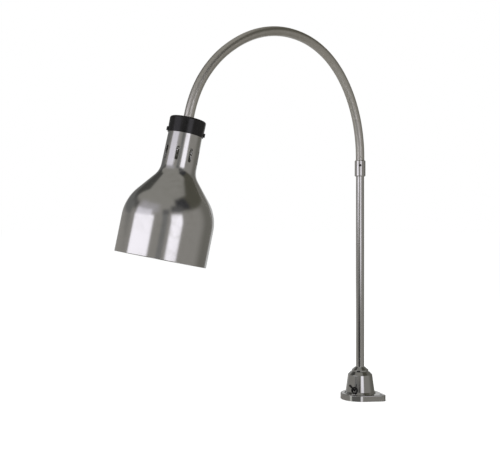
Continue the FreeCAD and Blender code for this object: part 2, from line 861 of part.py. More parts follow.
def holder_screws():
    """Two screws from the plate into the lamp holder."""
    screws = []
    for side in (1, -1):
        head = Part.makeCylinder(holder_screw_head, holder_screw_head_height,
                                 Vector(side * holder_screw_spread, 0,
                                        socket_plate_thickness - holder_screw_head_height))
        shank = Part.makeCylinder(holder_screw_radius, holder_screw_length,
                                  Vector(side * holder_screw_spread, 0, socket_plate_thickness))
        screws.append(in_head(turned(one_solid(head.fuse(shank)), front_angle)))
    return Part.makeCompound(screws)


def lamp_holder():
    """Porcelain body, open towards the rim, recessed at the top for the leads."""
    top = socket_plate_bottom
    body = revolved([
        (0, top, 0),
        (holder_radius - 1.5, top, 1.0),
        (holder_radius, top + holder_length, 1.2),
        (shell_radius + slip_fit, top + holder_length, 0.8),
        (shell_radius + slip_fit, top + holder_floor, 0),
        (0, top + holder_floor, 0),
    ])
    cuts = [Part.makeCylinder(holder_recess_radius, holder_recess, Vector(0, 0, top))]
    for side in (1, -1):
        hole = Part.makeCylinder(holder_screw_radius + slip_fit, holder_screw_length - bracket_thickness,
                                 Vector(side * holder_screw_spread, 0, top))
        cuts.append(turned(hole, front_angle))
    return in_head(one_solid(body.cut(cuts)))


contact_place = socket_plate_bottom + holder_floor
lamp_tip_place = contact_place + contact_height + 0.05
lamp_base_place = lamp_tip_place + lamp_tip_height


def screw_shell():
    """Metal shell that takes the lamp's cap, seated on the holder's floor."""
    return in_head(one_solid(revolved([
        (contact_radius + 1.5, contact_place, 0),
        (shell_radius, contact_place, 0),
        (shell_radius, contact_place + shell_length, 0),
        (shell_radius - shell_wall, contact_place + shell_length, 0),
        (shell_radius - shell_wall, contact_place + shell_wall, 0),
        (contact_radius + 1.5, contact_place + shell_wall, 0),
    ])))


def centre_contact():
    """Sprung contact at the bottom of the holder, drawn as a stepped button."""
    return in_head(one_solid(revolved([
        (0, contact_place, 0),
        (contact_radius, contact_place, 0),
        (contact_radius, contact_place + contact_height - 1.0, 0),
        (contact_radius - 1.2, contact_place + contact_height, 0.5),
        (0, contact_place + contact_height, 0),
    ])))


def head_leads():
    """Two leads from the end of the sleeve into the holder's recess."""
    length = socket_plate_bottom + holder_recess - nipple_end
    leads = [Part.makeCylinder(lead_radius, length, Vector(side * 1.6, 0, nipple_end)) for side in (1, -1)]
    return Part.makeCompound([in_head(lead) for lead in leads])


def shade():
    """Spun bell: near-straight neck, concave flare, cone, round shoulder, straight skirt and hem."""
    slope = math.tan(math.radians(cone_half_angle))
    bell_place = cone_place + (bell_radius - neck_bottom_radius) / slope
    shift = shade_wall * math.tan(math.radians(cone_half_angle / 2))
    bell = revolved([
        (neck_top_radius, shade_top, 0.3),
        (neck_bottom_radius, cone_place, cone_round),
        (bell_radius, bell_place, bell_round),
        (bell_radius, rim_place, 0.5),
        (bell_radius - shade_wall - hem_width, rim_place, 0.5),
        (bell_radius - shade_wall - hem_width, rim_place - hem_length, 0.3),
        (bell_radius - shade_wall, rim_place - hem_length - 1.0, 0),
        (bell_radius - shade_wall, bell_place + shift, bell_round - shade_wall),
        (neck_bottom_radius - shade_wall, cone_place + shift, cone_round + shade_wall),
        (neck_top_radius - shade_wall, shade_top, 0.3),
    ])
    cuts = side_holes(cap_screw_radius + slip_fit)
    for number in range(slot_count):
        angle = front_angle + slot_offset + 360 / slot_count * number
        cuts.append(turned(vent_slot(), angle))
    return in_head(one_solid(bell.cut(cuts)))


def vent_slot():
    """Round-ended bar, lying outwards, that cuts one vent slot."""
    half = slot_length / 2 - slot_width / 2
    reach = neck_bottom_radius + 2
    bars = [Part.makeCylinder(slot_width / 2, reach, Vector(0, 0, slot_place + end), Vector(1, 0, 0))
            for end in (half, -half)]
    middle = Part.makeBox(reach, slot_width, 2 * half, Vector(0, -slot_width / 2, slot_place - half))
    return bars[0].fuse([bars[1], middle])


# ---- lamp, in the head's frame -------------------------------------------------------
def lamp_base():
    """Threaded cap of the lamp with its tip."""
    crest = 0.35
    corners = [(0, lamp_tip_place, 0), (lamp_tip_radius, lamp_tip_place, 0.5),
               (lamp_base_radius - 4.5, lamp_base_place, 0),
               (lamp_base_radius - crest, lamp_base_place + 1.5, 0)]
    thread_count = 6
    pitch = (lamp_base_length - 4.0) / thread_count
    for number in range(thread_count):
        foot = lamp_base_place + 2.0 + pitch * number
        corners.append((lamp_base_radius - crest - 0.6, foot + pitch * 0.2, 0.6))
        corners.append((lamp_base_radius, foot + pitch * 0.7, 0.6))
    top = lamp_base_place + lamp_base_length
    corners += [(lamp_base_radius - crest, top - 0.8, 0), (lamp_base_radius - crest, top, 0), (0, top, 0)]
    return in_head(one_solid(revolved(corners)))


def lamp_outline(inset):
    """Outline of the glass, moved inwards by an inset."""
    top = lamp_base_place + lamp_base_length
    slope = math.tan(math.radians(lamp_cone_half_angle))
    cone_end = lamp_cone_start + (lamp_radius - lamp_neck_radius) / slope
    shift = inset * math.tan(math.radians(lamp_cone_half_angle / 2))
    return [
        (0, top + inset, 0),
        (lamp_base_radius - inset, top + inset, 0),
        (lamp_neck_radius - inset, top + lamp_neck_rise, 4.0),
        (lamp_neck_radius - inset, lamp_cone_start + shift, lamp_side_round + inset),
        (lamp_radius - inset, cone_end + shift, lamp_side_round - inset),
        (lamp_radius - inset, lamp_face_place - lamp_face_crown - shift, lamp_edge_round - inset),
        (lamp_radius * 0.55, lamp_face_place - inset, lamp_radius - inset),
        (0, lamp_face_place - inset, 0),
    ]


def lamp_glass():
    """Blown reflector envelope: neck, cone, widest belt and crowned face."""
    outer = revolved(lamp_outline(0))
    inner = revolved(lamp_outline(lamp_glass_wall))
    return in_head(one_solid(outer.cut(inner)))


def lamp_filament():
    """Glass stem with two support wires and a ring of filament."""
    start = lamp_base_place + lamp_base_length + lamp_glass_wall
    stem = Part.makeCylinder(stem_radius, stem_end - start, Vector(0, 0, start))
    spread = filament_ring_radius - stem_radius + support_wire_radius
    wires = [Part.makeCylinder(support_wire_radius, math.hypot(spread, support_rise),
                               Vector(side * (stem_radius - support_wire_radius), 0, stem_end - 1),
                               Vector(side * spread, 0, support_rise))
             for side in (1, -1)]
    coil = Part.makeTorus(filament_ring_radius, filament_wire_radius,
                          Vector(0, 0, stem_end + support_rise - 1))
    return in_head(one_solid(stem.fuse(wires + [coil])))


# ---- the whole lamp ------------------------------------------------------------------
def build():
    """Every sub-part by node name."""
    nodes = {
        "base_casting": base_casting(),
        "base_collar": base_collar(),
        "base_plate": base_plate(),
        "base_plate_screws": base_plate_screws(),
        "inlet_bushing": inlet_bushing(),
        "wire_nuts": wire_nuts(),
        "line_lead": line_lead(),
        "switched_lead": switched_lead(),
        "neutral_lead": neutral_lead(),
        "switch_body": switch_body(),
        "switch_bushing": switch_bushing(),
        "switch_bezel": switch_bezel(),
        "switch_lever": switch_lever(),
        "post_tube": post_tube(),
        "post_washer": post_washer(),
        "post_locknut": post_locknut(),
        "post_sleeve": post_sleeve(),
        "coupling": coupling(),
        "coupling_screw": coupling_screw(),
        "lower_ferrule": lower_ferrule(),
        "upper_ferrule": upper_ferrule(),
        "head_sleeve": head_sleeve(),
        "cap": cap(),
        "cap_nut": cap_nut(),
        "cap_screws": cap_screws(),
        "head_bracket": head_bracket(),
        "socket_plate": socket_plate(),
        "holder_screws": holder_screws(),
        "lamp_holder": lamp_holder(),
        "screw_shell": screw_shell(),
        "centre_contact": centre_contact(),
        "head_leads": head_leads(),
        "shade": shade(),
        "lamp_base": lamp_base(),
        "lamp_glass": lamp_glass(),
        "lamp_filament": lamp_filament(),
    }
    for index in range(link_count):
        nodes[f"neck_link_{index + 1:02d}"] = neck_link(index)
        nodes[f"lead_sleeve_{index + 1:02d}"] = lead_sleeve(index)
    return nodes


def main():
    """Write one STEP file per node."""
    os.makedirs("parts", exist_ok=True)
    nodes = build()
    for name, shape in nodes.items():
        if not shape.isValid():
            print("not valid:", name)
        shape.exportStep(f"parts/{name}.step")
    print(len(nodes), "nodes,", sum(len(shape.Solids) for shape in nodes.values()), "solids")


main()
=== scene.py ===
# %% [markdown]
# # A counter heat lamp: dressing a jointed CAD model
#
# The CAD model already has every piece at its real size and every joint in its place. This lesson
# keeps that frame and gives the visible pieces their finished surfaces: a wound steel arm that
# follows the curve through the joints, a spun aluminium shade, chrome-plated fittings and a black cap. The
# surfaces are worked out with numpy, because a lathe-turned or wound thing is one short formula,
# and the formula keeps the polish smooth where a CAD mesh would show its facets.

# %% Load the frame
import bpy
import json
import math
import numpy as np
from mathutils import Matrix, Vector


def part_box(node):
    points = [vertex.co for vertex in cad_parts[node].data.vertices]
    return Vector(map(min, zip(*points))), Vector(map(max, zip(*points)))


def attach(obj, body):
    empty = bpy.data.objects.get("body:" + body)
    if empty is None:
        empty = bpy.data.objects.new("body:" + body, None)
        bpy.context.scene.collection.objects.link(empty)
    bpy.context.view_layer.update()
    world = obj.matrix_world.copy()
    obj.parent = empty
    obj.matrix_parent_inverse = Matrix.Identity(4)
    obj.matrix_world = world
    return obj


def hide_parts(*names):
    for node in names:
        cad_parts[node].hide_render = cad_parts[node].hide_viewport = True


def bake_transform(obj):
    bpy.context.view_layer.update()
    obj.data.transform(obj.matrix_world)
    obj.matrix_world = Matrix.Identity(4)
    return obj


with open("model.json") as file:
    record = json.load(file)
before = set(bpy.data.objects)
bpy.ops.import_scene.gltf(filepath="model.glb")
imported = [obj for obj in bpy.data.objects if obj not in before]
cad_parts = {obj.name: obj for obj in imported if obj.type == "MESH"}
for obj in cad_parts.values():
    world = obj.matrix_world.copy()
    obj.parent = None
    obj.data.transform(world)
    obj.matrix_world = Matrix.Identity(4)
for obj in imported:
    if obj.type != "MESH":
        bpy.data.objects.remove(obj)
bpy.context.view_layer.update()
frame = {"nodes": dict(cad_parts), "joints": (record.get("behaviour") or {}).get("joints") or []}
joints = {joint["name"]: joint for joint in frame["joints"]}

# %% [markdown]
# ## The lines that everything is turned about
#
# The post stands on Z. The head's axis is the one along which the lamp comes out, so the record's
# slide joint gives its direction, and the last ball of the arm gives a point on it. The balls'
# centres are the record's hinge positions, in order from the post.

# %% Axes and ball centres
MM = 0.001
UP = np.array([0.0, 0.0, 1.0])


def unit(vector):
    """The vector divided by its length, along the last axis."""
    vector = np.asarray(vector, float)
    return vector / np.linalg.norm(vector, axis=-1, keepdims=True)


arm_joints = [joint for joint in frame["joints"] if joint["name"].startswith("arm_")]
ball_centres = np.array([joint["pos_m"] for joint in arm_joints])
head_axis = unit(joints["lamp_withdraw"]["axis"])
head_side = unit(joints[arm_joints[-1]["name"]]["axis"])
head_normal = np.cross(head_side, head_axis)
head_stem = 8.0 * MM
cap_face = ball_centres[-1] + head_axis * head_stem
print("balls:", len(ball_centres), "head axis:", head_axis.round(3), "cap face:", cap_face.round(4))

# %% [markdown]
# ## A turned outline
#
# A lathe makes a profile and spins it. The profile here is a closed loop of corners, each with the
# radius of its rounding. Every rounded corner becomes an arc that meets its two straight runs
# tangentially. The direction that the surface faces is worked out along with each point, because
# on polished metal a normal that is only averaged from the facets shows as a smear.

# %% Profile with rounded corners
ARC_STEPS = 6


def rounded_profile(corners, steps=ARC_STEPS):
    """Closed (radius, height) loop and its outward directions.

    An arc at corner c with unit directions a and b to its neighbours touches them at
    c + a * r / tan(half) and c + b * r / tan(half), where half is half the corner's inner angle.
    A corner with no rounding is given twice, once with each neighbour's direction.
    """
    corners = np.array(corners, float)
    places, radii = corners[:, :2], corners[:, 2]
    ahead = np.roll(places, -1, 0)
    turning = np.sum(places[:, 0] * ahead[:, 1] - ahead[:, 0] * places[:, 1])
    if turning < 0:
        places, radii = places[::-1], radii[::-1]
    points, facing = [], []
    before, after = np.roll(places, 1, 0), np.roll(places, -1, 0)
    for here, radius, previous, following in zip(places, radii, before, after):
        back, onward = unit(previous - here), unit(following - here)
        first = np.array([-back[1], back[0]])
        last = np.array([onward[1], -onward[0]])
        if radius <= 0:
            points += [here, here]
            facing += [first, last]
            continue
        half = math.acos(np.clip(back @ onward, -1, 1)) / 2
        sweep = np.linspace(0, 1, steps + 1)[:, None]
        angle = math.acos(np.clip(first @ last, -1, 1))
        blend = (np.sin((1 - sweep) * angle) * first + np.sin(sweep * angle) * last) / math.sin(angle)
        centre = here + unit(back + onward) * radius / math.sin(half)
        bulge = 1.0 if (first @ (here - centre)) > 0 else -1.0
        points += list(centre + bulge * radius * blend)
        facing += list(blend)
    return np.array(points), np.array(facing)


sample, sample_facing = rounded_profile([(4, 0, 1), (8, 0, 1), (8, 4, 1), (4, 4, 0)])
print("a square ring with three rounded corners:", len(sample), "points")

# %% [markdown]
# ## From grids of points to one closed mesh
#
# Each surface is one or more grids of points. Every grid carries the direction that it faces and a
# pair of surface distances for the brushed patterns. A grid that runs right round repeats its first
# column at the end, so the distances go on rising and the pattern doesn't fold back at the seam.
# Points that coincide are then welded. A row shrunk to a point becomes the tip of triangles.

# %% Grids of quads
def quad_corners(rows, columns, first):
    """Corner numbers of the quads between neighbours in a grid whose first point has a given number."""
    i, j = np.meshgrid(np.arange(rows - 1), np.arange(columns - 1), indexing="ij")
    here = first + i * columns + j
    return np.stack([here, here + 1, here + columns + 1, here + columns], -1).reshape(-1, 4)


def face_along(points, normals, quads):
    """The quads with their corners' order reversed wherever a quad turns its back on its normals."""
    a, b, c, d = (points[quads[:, k]] for k in range(4))
    turned = np.einsum("ij,ij->i", np.cross(c - a, d - b), normals[quads].sum(1)) < 0
    return np.where(turned[:, None], quads[:, ::-1], quads)


print("quads in a grid of 3 rows and 4 columns:", len(quad_corners(3, 4, 0)))


# %% One closed mesh
WELD = 1e-7                 # points closer than this, in metres, become one


def joined(patches):
    """One list each of points, normals, distances and quads from all the patches."""
    quads, first = [], 0
    for points, normals, distances in patches:
        quads.append(quad_corners(*points.shape[:2], first))
        first += points.shape[0] * points.shape[1]
    points, normals, distances = (
        np.concatenate([patch[k].reshape(-1, patch[k].shape[-1]) for patch in patches]) for k in range(3))
    return points, normals, distances, face_along(points, normals, np.concatenate(quads))


def without_repeats(corners):
    """Which corners of each quad to keep: repeats go, and so does a quad with fewer than 3 left."""
    kept = corners != np.roll(corners, -1, axis=1)
    kept[kept.sum(1) < 3] = False
    kept[corners[:, 0] == corners[:, 2]] = False
    kept[corners[:, 1] == corners[:, 3]] = False
    return kept


def surface_piece(name, patches):
    """Mesh object from patches of (points, normals, distances), each an array of [row, column]."""
    points, normals, distances, quads = joined(patches)
    grid_places = np.round(points / WELD).astype(np.int64)
    places, number = np.unique(grid_places, axis=0, return_inverse=True)
    number = number.reshape(-1)
    kept = without_repeats(number[quads])
    sizes = kept.sum(1)
    sizes = sizes[sizes > 0]
    starts = np.concatenate([[0], np.cumsum(sizes)[:-1]])
    loops = quads[kept]
    mesh = bpy.data.meshes.new(name)
    mesh.vertices.add(len(places))
    mesh.vertices.foreach_set("co", (places * WELD).astype(np.float32).reshape(-1))
    mesh.loops.add(len(loops))
    mesh.loops.foreach_set("vertex_index", number[loops].astype(np.int32))
    mesh.polygons.add(len(sizes))
    mesh.polygons.foreach_set("loop_start", starts.astype(np.int32))
    mesh.update(calc_edges=True)
    layer = mesh.uv_layers.new(name="surface")
    layer.data.foreach_set("uv", distances[loops].astype(np.float32).reshape(-1))
    mesh.polygons.foreach_set("use_smooth", np.ones(len(sizes), bool))
    mesh.normals_split_custom_set(unit(normals[loops]).tolist())
    piece = bpy.data.objects.new(name, mesh)
    bpy.context.scene.collection.objects.link(piece)
    return piece


doubled = np.array([[0, 1, 2, 3], [0, 0, 1, 2], [0, 0, 1, 1]])
print("corners kept of a quad, a triangle and a line:", without_repeats(doubled).sum(1))


# %% Turned pieces
def axes_about(axis, start=None):
    """Two directions square to an axis; the first leans towards start, or is square to Y."""
    axis = unit(axis)
    x = unit(np.cross([0.0, 1.0, 0.0], axis) if start is None else start - (start @ axis) * axis)
    return x, np.cross(axis, x)


def turned_patch(profile, facing, origin, axis, angle, start=None):
    """Profile points (r, h) at angles t: origin + h * axis + r * (cos t * x + sin t * y)."""
    axis = unit(axis)
    x, y = axes_about(axis, start)
    spoke = np.cos(angle)[:, None] * x + np.sin(angle)[:, None] * y
    points = (np.asarray(origin, float) + MM * profile[:, 1][:, None, None] * axis
              + MM * profile[:, 0][:, None, None] * spoke[None])
    normals = facing[:, 0][:, None, None] * spoke[None] + facing[:, 1][:, None, None] * axis
    steps = np.linalg.norm(np.diff(profile, axis=0), axis=1)
    along = np.concatenate([[0], np.cumsum(steps)]) * MM
    around = angle * profile[:, 0].max() * MM
    return points, normals, np.stack(np.broadcast_arrays(around[None], along[:, None]), -1)


def turned_piece(name, corners, origin=(0.0, 0.0, 0.0), axis=UP, sides=128, steps=ARC_STEPS):
    """Closed profile of (radius, height, rounding) corners in millimetres, spun about an axis."""
    profile, facing = rounded_profile(corners, steps)
    profile, facing = np.vstack([profile, profile[:1]]), np.vstack([facing, facing[:1]])
    angle = np.linspace(0, 2 * np.pi, sides + 1)
    return surface_piece(name, [turned_patch(profile, facing, origin, axis, angle)])


print("directions square to the head's axis:", [side.round(3).tolist() for side in axes_about(head_axis)])

# %% [markdown]
# ## Effects that several finishes share
#
# Brushed and spun metal is covered in fine parallel lines. They are a noise stretched a long way
# along the tool's path. Handling leaves soft patches where the polish is duller. Both are node
# groups with named inputs, built once and placed in each finish with its own values.

# %% Helpers for node groups
def group_with(name, inputs, outputs):
    """New shader node group with float or vector inputs and outputs."""
    group = bpy.data.node_groups.new(name, "ShaderNodeTree")
    for label, kind, value in inputs:
        socket = group.interface.new_socket(label, in_out="INPUT", socket_type=kind)
        if value is not None:
            socket.default_value = value
    for label, kind in outputs:
        group.interface.new_socket(label, in_out="OUTPUT", socket_type=kind)
    return group, group.nodes.new("NodeGroupInput"), group.nodes.new("NodeGroupOutput")


def math_node(tree, operation, first, second=None, third=None):
    """Math node whose inputs are sockets or numbers; returns its output."""
    node = tree.nodes.new("ShaderNodeMath")
    node.operation = operation
    for socket, value in zip(node.inputs, (first, second, third)):
        if value is None:
            continue
        if hasattr(value, "is_linked"):
            tree.links.new(value, socket)
        else:
            socket.default_value = value
    return node.outputs[0]


print("node groups so far:", len(bpy.data.node_groups))


# %% Node group: fine parallel lines
def build_fine_lines():
    """Lines along the pattern's first direction: noise that is stretched in it."""
    group, given, result = group_with(
        "fine_lines",
        [("Vector", "NodeSocketVector", None), ("Across per metre", "NodeSocketFloat", 2500.0),
         ("Along per metre", "NodeSocketFloat", 12.0)],
        [("Height", "NodeSocketFloat"), ("Mask", "NodeSocketFloat")])
    scale = group.nodes.new("ShaderNodeCombineXYZ")
    group.links.new(given.outputs["Along per metre"], scale.inputs["X"])
    group.links.new(given.outputs["Across per metre"], scale.inputs["Y"])
    stretch = group.nodes.new("ShaderNodeVectorMath")
    stretch.operation = "MULTIPLY"
    group.links.new(given.outputs["Vector"], stretch.inputs[0])
    group.links.new(scale.outputs[0], stretch.inputs[1])
    noise = group.nodes.new("ShaderNodeTexNoise")
    noise.inputs["Scale"].default_value = 1.0
    noise.inputs["Detail"].default_value = 4.0
    noise.inputs["Roughness"].default_value = 0.65
    group.links.new(stretch.outputs[0], noise.inputs["Vector"])
    spread = group.nodes.new("ShaderNodeMapRange")
    spread.inputs["From Min"].default_value = 0.3
    spread.inputs["From Max"].default_value = 0.7
    group.links.new(noise.outputs["Fac"], spread.inputs["Value"])
    group.links.new(noise.outputs["Fac"], result.inputs["Height"])
    group.links.new(spread.outputs[0], result.inputs["Mask"])
    return group


FINE_LINES = build_fine_lines()
print("group:", FINE_LINES.name)


# %% Node group: handling marks
def build_handling_marks():
    """Soft patches from two sizes of noise multiplied together."""
    group, given, result = group_with(
        "handling_marks",
        [("Vector", "NodeSocketVector", None), ("Patches per metre", "NodeSocketFloat", 18.0)],
        [("Mask", "NodeSocketFloat")])
    masks = []
    for factor in (1.0, 5.3):
        noise = group.nodes.new("ShaderNodeTexNoise")
        noise.inputs["Detail"].default_value = 3.0
        group.links.new(given.outputs["Vector"], noise.inputs["Vector"])
        scale = math_node(group, "MULTIPLY", given.outputs["Patches per metre"], factor)
        group.links.new(scale, noise.inputs["Scale"])
        spread = group.nodes.new("ShaderNodeMapRange")
        spread.inputs["From Min"].default_value = 0.4
        spread.inputs["From Max"].default_value = 0.68
        group.links.new(noise.outputs["Fac"], spread.inputs["Value"])
        masks.append(spread.outputs[0])
    group.links.new(math_node(group, "MULTIPLY", masks[0], masks[1]), result.inputs["Mask"])
    return group


HANDLING_MARKS = build_handling_marks()
print("group:", HANDLING_MARKS.name)

# %% [markdown]
# ## A metal finish
#
# Every metal here is the same recipe with other numbers: a reflection colour that drifts a little,
# a roughness that rises in the brushed lines and under handling, and a very shallow relief. Chrome
# keeps a low roughness; spun aluminium is rougher along its lines than across them, which is what
# the anisotropy does. Its lines run round the piece, so the pattern follows the piece's own UVs.

# %% Parts of a finish
def place_group(tree, group, **values):
    """Group node with some of its inputs set."""
    node = tree.nodes.new("ShaderNodeGroup")
    node.node_tree = group
    for label, value in values.items():
        node.inputs[label.replace("_", " ")].default_value = value
    return node


def new_finish(name):
    """Material with an empty Principled shader; returns it with its tree and shader."""
    material = bpy.data.materials.new(name)
    material.use_nodes = True
    return material, material.node_tree, material.node_tree.nodes["Principled BSDF"]


def between(tree, mask, low, high):
    """Number that goes from low to high with a mask."""
    node = tree.nodes.new("ShaderNodeMapRange")
    node.inputs["To Min"].default_value = low
    node.inputs["To Max"].default_value = high
    tree.links.new(mask, node.inputs["Value"])
    return node.outputs[0]


def colour_between(tree, mask, low, high):
    """Colour that goes from low to high with a mask."""
    node = tree.nodes.new("ShaderNodeMix")
    node.data_type = "RGBA"
    node.inputs["A"].default_value = (*low, 1)
    node.inputs["B"].default_value = (*high, 1)
    tree.links.new(mask, node.inputs["Factor"])
    return node.outputs["Result"]


def handled(tree, shader, coordinates, patches, colour, worn_colour, roughness, mark_roughness):
    """Colour that drifts with handling, set on the shader; returns the roughness that drifts with it."""
    marks = place_group(tree, HANDLING_MARKS, Patches_per_metre=patches)
    tree.links.new(coordinates.outputs["Object"], marks.inputs["Vector"])
    drifting = colour_between(tree, marks.outputs["Mask"], colour, worn_colour)
    tree.links.new(drifting, shader.inputs["Base Color"])
    return between(tree, marks.outputs["Mask"], roughness, roughness + mark_roughness)


def relief_from(tree, shader, height, depth):
    """Bump of a depth in metres from a height between 0 and 1."""
    bump = tree.nodes.new("ShaderNodeBump")
    bump.inputs["Strength"].default_value = 1.0
    bump.inputs["Distance"].default_value = depth
    tree.links.new(height, bump.inputs["Height"])
    tree.links.new(bump.outputs["Normal"], shader.inputs["Normal"])


print("materials so far:", len(bpy.data.materials))


# %% Metal recipe
LINE_ROTATION = 0.25        # of a turn: the shine runs across the brushed lines
METAL_PATCHES = 18.0        # handling marks per metre


def metal_finish(name, colour, dull_colour, roughness, line_roughness, mark_roughness,
                 lines=None, relief=0.0, anisotropy=0.0, patches=METAL_PATCHES):
    """Metal with optional brushed lines. lines is (across, along) per metre on the piece's UVs."""
    material, tree, shader = new_finish(name)
    shader.inputs["Metallic"].default_value = 1.0
    coordinates = tree.nodes.new("ShaderNodeTexCoord")
    rough = handled(tree, shader, coordinates, patches, colour, dull_colour, roughness, mark_roughness)
    if lines is not None:
        fine = place_group(tree, FINE_LINES, Across_per_metre=lines[0], Along_per_metre=lines[1])
        tree.links.new(coordinates.outputs["UV"], fine.inputs["Vector"])
        rough = math_node(tree, "ADD", rough, between(tree, fine.outputs["Mask"], 0.0, line_roughness))
        relief_from(tree, shader, fine.outputs["Height"], relief)
    tree.links.new(rough, shader.inputs["Roughness"])
    if anisotropy:
        shader.inputs["Anisotropic"].default_value = anisotropy
        shader.inputs["Anisotropic Rotation"].default_value = LINE_ROTATION
        tangent = tree.nodes.new("ShaderNodeTangent")
        tangent.direction_type = "UV_MAP"
        tree.links.new(tangent.outputs[0], shader.inputs["Tangent"])
    return material


print("handling marks on metal:", METAL_PATCHES, "per metre")

# %% The metals of this lamp
SPUN_ALUMINIUM = metal_finish("spun_aluminium", (0.74, 0.735, 0.72), (0.68, 0.675, 0.65),
                              0.13, 0.05, 0.05, lines=(2600.0, 9.0), relief=0.000004, anisotropy=0.55)
CAST_CHROME = metal_finish("cast_chrome", (0.60, 0.60, 0.585), (0.55, 0.55, 0.53), 0.07, 0.0, 0.06)
TUBE_CHROME = metal_finish("tube_chrome", (0.70, 0.695, 0.68), (0.64, 0.63, 0.61),
                           0.12, 0.03, 0.05, lines=(60.0, 1800.0), relief=0.000002)
WOUND_STEEL = metal_finish("wound_steel", (0.82, 0.80, 0.75), (0.72, 0.70, 0.64),
                           0.34, 0.05, 0.06, lines=(1500.0, 20.0), relief=0.000003)
ZINC_STEEL = metal_finish("zinc_steel", (0.58, 0.58, 0.57), (0.46, 0.46, 0.45),
                          0.30, 0.0, 0.15, patches=60.0)
BLACK_STEEL = metal_finish("black_steel", (0.06, 0.06, 0.06), (0.09, 0.09, 0.09),
                           0.35, 0.0, 0.15, patches=80.0)
BRASS = metal_finish("brass", (0.78, 0.60, 0.30), (0.60, 0.44, 0.20), 0.22, 0.0, 0.18, patches=60.0)
ROLLED_CAP = metal_finish("rolled_lamp_cap", (0.76, 0.75, 0.73), (0.60, 0.59, 0.57),
                          0.25, 0.0, 0.15, patches=60.0)
FILAMENT = metal_finish("filament_wire", (0.32, 0.31, 0.30), (0.22, 0.21, 0.20),
                        0.35, 0.0, 0.1, patches=90.0)
print("metals:", sum(1 for material in bpy.data.materials if material.use_nodes))

# %% [markdown]
# ## Mouldings, porcelain, sleeving and glass
#
# The cap is a black moulding with a fine, even texture that breaks up its highlight. Porcelain is
# pale under a clear glaze, the lead sleeving is a woven tube, and the lamp is frosted inside. These
# don't depend on direction, so they read Object coordinates.


# %% Non-metals
MOULDING_PATCHES = 30.0     # handling marks per metre


def solid_finish(name, colour, worn_colour, roughness, rough_marks, grain_per_metre, grain_depth,
                 coat=0.0):
    """Plastic or ceramic: a grain of noise for relief, handling marks for colour and roughness."""
    material, tree, shader = new_finish(name)
    coordinates = tree.nodes.new("ShaderNodeTexCoord")
    rough = handled(tree, shader, coordinates, MOULDING_PATCHES, colour, worn_colour, roughness,
                    rough_marks)
    tree.links.new(rough, shader.inputs["Roughness"])
    grain = tree.nodes.new("ShaderNodeTexNoise")
    grain.inputs["Scale"].default_value = grain_per_metre
    grain.inputs["Detail"].default_value = 2.0
    tree.links.new(coordinates.outputs["Object"], grain.inputs["Vector"])
    relief_from(tree, shader, grain.outputs["Fac"], grain_depth)
    shader.inputs["Coat Weight"].default_value = coat
    return material


CAP_BLACK = solid_finish("cap_black", (0.004, 0.0035, 0.004), (0.007, 0.0065, 0.007),
                         0.22, 0.08, 900.0, 0.00001)
BLACK_PLASTIC = solid_finish("black_plastic", (0.006, 0.006, 0.006), (0.01, 0.01, 0.01),
                             0.5, 0.1, 1200.0, 0.00001)
PORCELAIN = solid_finish("porcelain", (0.83, 0.82, 0.77), (0.76, 0.74, 0.68),
                         0.25, 0.1, 500.0, 0.00002, coat=0.6)
SLEEVING = solid_finish("sleeving", (0.75, 0.72, 0.62), (0.62, 0.58, 0.48), 0.75, 0.1, 2500.0, 0.0001)
DARK_INSULATION = solid_finish("dark_insulation", (0.03, 0.03, 0.03), (0.06, 0.06, 0.06),
                               0.5, 0.1, 800.0, 0.00002)
PALE_INSULATION = solid_finish("pale_insulation", (0.80, 0.80, 0.77), (0.70, 0.69, 0.65),
                               0.5, 0.1, 800.0, 0.00002)
WIRE_NUT = solid_finish("wire_nut", (0.60, 0.17, 0.04), (0.50, 0.13, 0.03), 0.4, 0.1, 700.0, 0.00002)
FROSTED_GLASS = solid_finish("frosted_glass", (0.90, 0.89, 0.85), (0.86, 0.85, 0.80),
                             0.28, 0.06, 1500.0, 0.00001, coat=0.15)
print("finishes:", len(bpy.data.materials))


# %% Silver inside the lamp's back
SILVER_END = 0.136          # metres along the glass's outline, from the middle of its cap end
FROST_START = 0.142
# Grey of the silvered back, darkened as painted shade: it stands for the dark inside of the shade's neck
# that shows through the slots.
SILVER_AND_NECK_SHADE = (0.22, 0.22, 0.19)


def silver_behind(material, start, end, silver_and_shade):
    """A reflector lamp's back: silvered inside up to a distance along the outline, frosted beyond it. The
    silvered part is a flat grey, darkened as painted shade for the inside of the shade's neck.
    """
    tree = material.node_tree
    shader = tree.nodes["Principled BSDF"]
    frosted = shader.inputs["Base Color"].links[0].from_socket
    coordinates = tree.nodes.new("ShaderNodeTexCoord")
    split = tree.nodes.new("ShaderNodeSeparateXYZ")
    tree.links.new(coordinates.outputs["UV"], split.inputs[0])
    mask = tree.nodes.new("ShaderNodeMapRange")
    mask.inputs["From Min"].default_value = start
    mask.inputs["From Max"].default_value = end
    tree.links.new(split.outputs["Y"], mask.inputs["Value"])
    mixed = colour_between(tree, mask.outputs[0], silver_and_shade, silver_and_shade)
    tree.links.new(frosted, mixed.node.inputs["B"])
    tree.links.new(mixed, shader.inputs["Base Color"])


silver_behind(FROSTED_GLASS, SILVER_END, FROST_START, SILVER_AND_NECK_SHADE)
print("silvered to", SILVER_END, "m along the glass")
